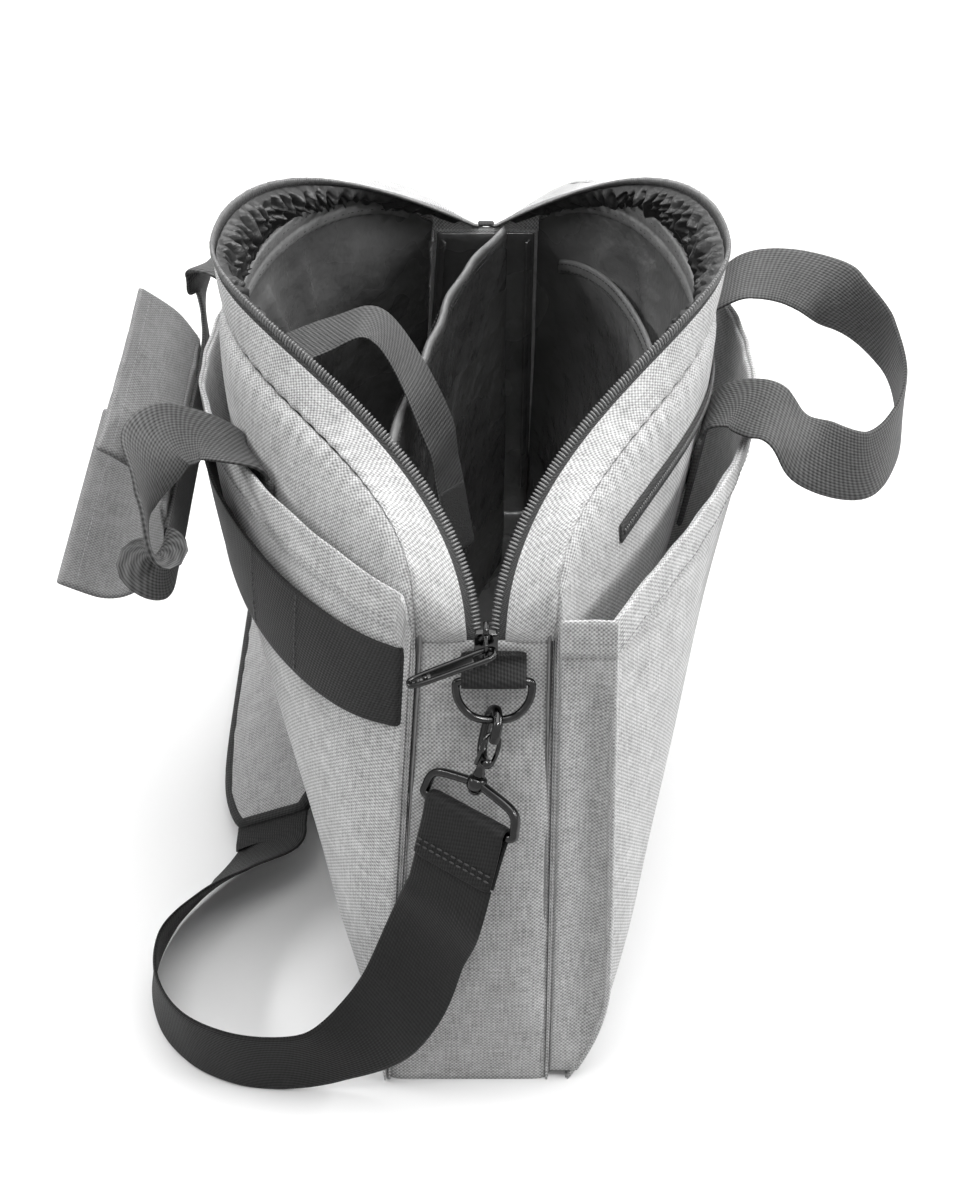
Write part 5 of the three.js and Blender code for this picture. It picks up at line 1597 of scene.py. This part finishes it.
def acrossEnd(name, sign=1):
    return tuple(sign * (endFrames[name].to_3x3() @ Vector((0, 1, 0))))


padStart = padSet["start"]
nearRun = ribbonObject("strapNearWebbing", [
    (fromEnd("near", 0, 0, -24.6), acrossEnd("near")), (fromEnd("near", 0, 0, -40), acrossEnd("near")),
    ((-197, 24, 95), (0.55, 0.7, 0.25)), ((-203, 36, 62), (0.4, 0.5, 0.75)),
    ((-204, 52, 36), (0.2, 0.2, 0.95)),
    ((-205, 72, 23), (0, 0, 1)), ((-205, 92, strapLevel), (0, 0, 1)), ((-202, 112, strapLevel), (0, 0, 1)),
    ((-192, 131, strapLevel), (0, 0, 1)), ((-172, 146, strapLevel), (0.05, -0.05, 1)),
    ((-147, 150, strapLevel), (0.05, -0.2, 1)), ((-120, 140, strapLevel - 1), (0, -0.5, 0.85)),
    ((-98, 122, strapLevel - 2), (0, -0.75, 0.6)),
    ((padStart - 16, padSet["y"], padLift), tuple(-padAcross)),
    ((padStart - 10, padSet["y"], padLift), tuple(-padAcross)),
    ((padStart - 4, padSet["y"], padLift), tuple(-padAcross)),
], strapSet["width"], strapSet["thick"], look["strap"], 340, 0.8, 5)
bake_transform(nearRun)
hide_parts("strap_near_run")

padRun = ribbonObject("strapPadWebbing", [
    ((padStart - 3.6, padSet["y"], padLift), tuple(padAcross)),
    (((padStart + padEnd) / 2, padSet["y"], padLift), tuple(padAcross)),
    ((padEnd + 3.6, padSet["y"], padLift), tuple(padAcross)),
], strapSet["width"], strapSet["thick"], look["strap"], 60)
dress(padRun, "shell", ["strap_pad_run"])

farRun = ribbonObject("strapFarWebbing", [
    ((padEnd + 4, padSet["y"], padLift), tuple(padAcross)),
    ((padEnd + 20, padSet["y"], padLift), tuple(padAcross)),
    ((padEnd + 42, padSet["y"], padLift), tuple(padAcross)),
    ((padEnd + 50, padSet["y"] - 1, padLift + 0.5), tuple(padAcross)),
    ((padEnd + 74, padSet["y"] - 12, strapLevel - 2), (0, 0.4, -0.9)),
    ((padEnd + 90, padSet["y"] - 40, strapLevel), (0, 0.1, -1)),
    ((padEnd + 92, padSet["y"] - 70, strapLevel), (0, 0, -1)),
    ((246, 18, 30), (0.2, -0.2, -1)), ((226, 6, 62), (0.4, -0.55, -0.6)), ((206, 1, 92), (0.6, -0.7, -0.2)),
    (fromEnd("far", 0, 0, -40), acrossEnd("far", -1)), (fromEnd("far", 0, 0, -24.6), acrossEnd("far", -1)),
], strapSet["width"], strapSet["thick"], look["strap"], 300, 0.8, 8)
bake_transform(farRun)
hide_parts("strap_far_run")

adjuster = bevelledCopy("strapAdjusterFrame", "strap_adjuster", 0.8, look["nickel"], 2)
dress(adjuster, "strap_adjuster", ["strap_adjuster"])


def padShape(name, low, high, crown, grow, material, columns=130, rows=34, quilt=0.0):
    # One layer of the pad between two heights over the strap, with rounded ends
    share, t = np.meshgrid(np.linspace(-1, 1, columns), np.linspace(-1, 1, rows))
    half = (padSet["width"] / 2) * (0.6 + 0.4 * (1 - np.abs(share) ** 6)) + grow
    x = lerp(padStart, padEnd, (share + 1) / 2) + grow * share
    centre = np.stack([x, np.full_like(x, padSet["y"]), np.full_like(x, padLift)], axis=-1)
    flat = centre + padAcross * (t * half)[..., None]
    puff = crown * (1 - share ** 4) * np.clip(1 - np.abs(t) ** 2.6, 0, 1)
    dimple = quilt * folds(flat, 26, 6.0)
    upper = flat + padUp * (high + puff + dimple * 0.5)[..., None]
    lower = flat + padUp * (low + 0 * puff)[..., None]
    cloth = np.stack([x, t * half], axis=-1)
    return thickSheet(name, upper, lower, cloth, material, 0.5)


strapHalf = strapSet["thick"] / 2 + 0.3
face = padShape("padFace", strapHalf, strapHalf + 2.0, padSet["crown"], -3.0, look["padFace"], quilt=1.2)
dress(face, "shoulder_pad", ["shoulder_pad"])
backing = padShape("padBacking", -strapHalf - 1.6, -strapHalf, 0.0, -1.0, look["padEdge"])
dress(backing, "shoulder_pad", ["shoulder_pad_backing"])


def padOutline(grow, samples):
    # The pad's outline as points on its plane
    turn = np.linspace(-1, 1, samples)
    half = (padSet["width"] / 2) * (0.6 + 0.4 * (1 - np.abs(turn) ** 6)) + grow
    x = lerp(padStart, padEnd, (turn + 1) / 2) + grow * turn
    one = np.stack([x, half], axis=1)
    two = np.stack([x[::-1], -half[::-1]], axis=1)
    ends = np.linspace(1, -1, 12)[1:-1]
    right = np.stack([np.full(10, padEnd + grow), ends * half[-1]], axis=1)
    left = np.stack([np.full(10, padStart - grow), -ends * half[0]], axis=1)
    return np.concatenate([one, right, two, left])


outline = padOutline(-2.5, 90)
path = np.array([(x, padSet["y"], padLift) + padAcross * y for x, y in outline])
along = tangents(path, True)
out = unit(np.cross(along, padUp))
if np.dot(out[0], path[0] - path.mean(axis=0)) < 0:
    out = -out
turns = np.linspace(0, 2 * math.pi, 18, endpoint=False)
rings = np.array([
    [p + o * (4.2 * math.cos(t)) + padUp * (0.6 + 2.9 * math.sin(t)) for t in turns]
    for p, o in zip(path, out)
])
run = np.concatenate([[0], np.cumsum(np.linalg.norm(np.diff(path, axis=0), axis=1))])
cloth = np.stack(np.broadcast_arrays(turns[None] * 3.2, run[:, None]), axis=-1)
edge = loftRings("padBindingEdge", rings, look["padEdge"], cloth, True)
dress(edge, "shoulder_pad", ())

print("shoulder strap made")


# Handles of webbing and their sewn legs

legSet = {"low": 0.7, "front": 0.86, "back": 0.87, "out": 1.2}
legsAt = {"front": (-34, 50), "back": (-66, 58)}


def onWall(side, x, v):
    point = wallPoint(side, x / lerp(bag["baseHalf"], bag["topHalf"], v), v)
    point[..., 0] = x
    return point


def legPoint(side, x, v, out):
    lean = onWall(side, x, v + 0.02) - onWall(side, x, v - 0.02)
    away = unit(np.stack([0 * lean[..., 0], lean[..., 2], -lean[..., 1]], axis=-1)) * side["sign"]
    return onWall(side, x, v) + away * np.asarray(out, dtype=float)[..., None]


def legTop(name, x, rise, away=0.0, sign=1):
    side = sides[name]
    v = np.array(legSet[name])
    half = strapSet["handle"] / 2
    middle = legSet["out"] + strapSet["handleThick"] / 2
    across = unit(legPoint(side, np.array(x + half), v, middle)
                  - legPoint(side, np.array(x - half), v, middle))
    face = legPoint(side, np.array(float(x)), v, 1) - legPoint(side, np.array(float(x)), v, 0)
    root = legPoint(side, np.array(float(x)), v, middle)
    up = unit(np.cross(face, across))
    up = up * np.sign(up[2])
    return (tuple(root + up * rise + face * away), tuple(sign * across))


legNodes = {
    "front": ("front_handle_near_leg", "front_handle_far_leg"),
    "back": ("back_handle_near_leg", "back_handle_far_leg"),
}
for name, side in sides.items():
    for x, node in zip(legsAt[name], legNodes[name]):
        v, across = np.meshgrid(np.linspace(legSet["low"], legSet[name], 30),
                                np.linspace(-15, 15, 14), indexing="ij")
        outer = legPoint(side, x + across, v, legSet["out"] + strapSet["handleThick"] + 0 * v)
        inner = legPoint(side, x + across, v, legSet["out"] + 0 * v)
        rise = np.concatenate([[0], np.cumsum(np.linalg.norm(np.diff(outer[:, 7], axis=0), axis=1))])
        cloth = np.stack(np.broadcast_arrays(across, rise[:, None]), axis=-1)
        parts = node.split("_")
        leg = thickSheet(parts[0] + parts[2].capitalize() + "LegWebbing", outer, inner, cloth,
                         look["handle"])
        dress(leg, "shell", [node])

frontStations = [
    legTop("front", legsAt["front"][0], 0.5), legTop("front", legsAt["front"][0], 1.2),
    legTop("front", legsAt["front"][0], 6, 1.7), ((-37, -107, 248.5), (1, 0, 0.1)),
    ((-47, -119, 249), (0.9, 0.35, 0.3)), ((-58, -137, 238), (0.5, 0.5, 0.7)),
    ((-57, -158, 231), (0.2, 0.2, 1)), ((-36, -174, 231), (0.3, 0, 1)), ((-8, -181, 235), (0.4, 0, 1)),
    ((22, -178, 241), (0.5, 0.2, 1)), ((43, -163, 248), (0.5, 0.4, 0.8)),
    ((52, -140, 255), (0.9, 0.1, 0.5)), ((52, -119, 256), (1, 0, 0.2)), ((51, -107, 250), (1, 0, 0)),
    legTop("front", legsAt["front"][1], 6, 1.7),
    legTop("front", legsAt["front"][1], 1.2), legTop("front", legsAt["front"][1], 0.5),
]
handle = ribbonObject("frontHandleWebbing", frontStations, strapSet["handle"], 2.2, look["handle"],
                      300, 0.7, 11)
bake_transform(handle)
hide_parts("front_handle")

grip = {"x": -30.0, "z": 217.0, "out": 128.0, "length": 122.0, "thick": 2.0, "core": 16.0}
x0 = grip["x"] - grip["length"] / 2
x1 = grip["x"] + grip["length"] / 2
backStations = [
    legTop("back", legsAt["back"][0], 1, 0.2), legTop("back", legsAt["back"][0], 1.7, 0.25),
    legTop("back", legsAt["back"][0], 5, 3.2),
    ((-66, 119, 254), (1, 0, 0.1)), ((-78, 130, 259), (0.8, 0.2, 0.4)), ((-102, 134, 248), (0.4, 0, 0.9)),
    ((-114, 132, 230), (-0.2, 0, 1)), ((-104, grip["out"] + 0.5, 218), (0, 0, 1)),
    ((x0, grip["out"], grip["z"]), (0, 0, 1)), ((grip["x"], grip["out"], grip["z"]), (0, 0, 1)),
    ((x1, grip["out"], grip["z"] + 3), (0, 0, 1)), ((52, grip["out"] + 2, 226), (-0.2, 0, 1)),
    ((68, 133, 240), (-0.5, 0, 0.9)), ((66, 128, 254), (-0.9, 0, 0.4)), ((58, 118, 256), (-1, 0, 0.1)),
    legTop("back", legsAt["back"][1], 5, 3.2, -1), legTop("back", legsAt["back"][1], 1.7, 0.25, -1),
    legTop("back", legsAt["back"][1], 1, 0.2, -1),
]
handle = ribbonObject("backHandleWebbing", backStations, strapSet["handle"], 2.2, look["handle"],
                      320, 0.5, 14)
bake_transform(handle)
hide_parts("back_handle")


# Grip wrap, opened, with its two flaps

def wrapSheet(name, line, left, right, thick, bow=0.0, seed=1.0, rows=40, columns=70):
    path = splinePoints([(0, y, z) for y, z in line], rows)
    along = tangents(path)
    normal = np.stack([0 * along[:, 0], -along[:, 2], along[:, 1]], axis=1)
    x = np.linspace(left, right, columns)
    share = (x - left) / (right - left)
    grid = np.stack(np.broadcast_arrays(x[None], path[:, 1:2], path[:, 2:3]), axis=-1)
    run = np.concatenate([[0], np.cumsum(np.linalg.norm(np.diff(path, axis=0), axis=1))])
    soft = bow * np.sin(np.pi * share)[None] * (run / run[-1])[:, None]
    soft = soft + 0.9 * folds(grid, 45, seed) * (run / run[-1])[:, None]
    hem = 0.45 * np.maximum(
        smooth(0, 0.9, np.abs(2 * share - 1) ** 9)[None] * np.ones((rows, 1)),
        smooth(0.0, 0.8, (run / run[-1]) ** 9)[:, None] * np.ones((1, columns)))
    half = thick / 2 + hem * 0.6
    centre = grid + normal[:, None] * (soft + thick / 2)[..., None]
    cloth = np.stack(np.broadcast_arrays(x[None], run[:, None]), axis=-1)
    reach = normal[:, None] * half[..., None]
    sheet = thickSheet(name, centre + reach, centre - reach, cloth, look["wrap"], 0.6)
    column = int(columns * 0.06)
    row = int(rows * 0.87)
    rails = []
    for sign in (1, -1):
        skin = centre + normal[:, None] * (half * sign)[..., None]
        facing = normal * sign
        rails += [(skin[1:-1, column], facing[1:-1]), (skin[1:-1, -column - 1], facing[1:-1]),
                  (skin[row, column:-column], np.tile(facing[row], (columns - 2 * column, 1)))]
    return sheet, rails


inner = grip["out"] + strapSet["handleThick"] / 2 + 0.35
z = grip["z"]
core = grip["core"]
wraps = (
    ("gripCoreCloth", "grip_wrap", "back_handle",
     [(inner + 2, z - core + 1), (inner + 2, z), (inner + 2, z + core + 3)], x0, x1, 0.0, 21),
    ("gripUpperFlapCloth", "grip_flap_upper", "grip_flap_upper",
     [(inner + 2.4, z + core + 3.6), (inner + 10, z + core + 16), (inner + 24, z + core + 27)],
     x0 + 6, x1, 1.5, 22),
    ("gripLowerFlapCloth", "grip_flap_lower", "grip_flap_lower",
     [(inner + 2.4, z - core + 0.4), (inner + 26, z - core - 14), (inner + 48, z - core - 6)],
     x0, x1, -1.5, 23),
)
for name, node, body, line, left, right, bow, seed in wraps:
    sheet, rails = wrapSheet(name, line, left, right, grip["thick"], bow, seed)
    dress(sheet, body, [node])
    stitchRow(name + "Stitches", rails, body, "greyThread", 3.4, (2.6, 0.5, 0.45))

print("handles and grip made")
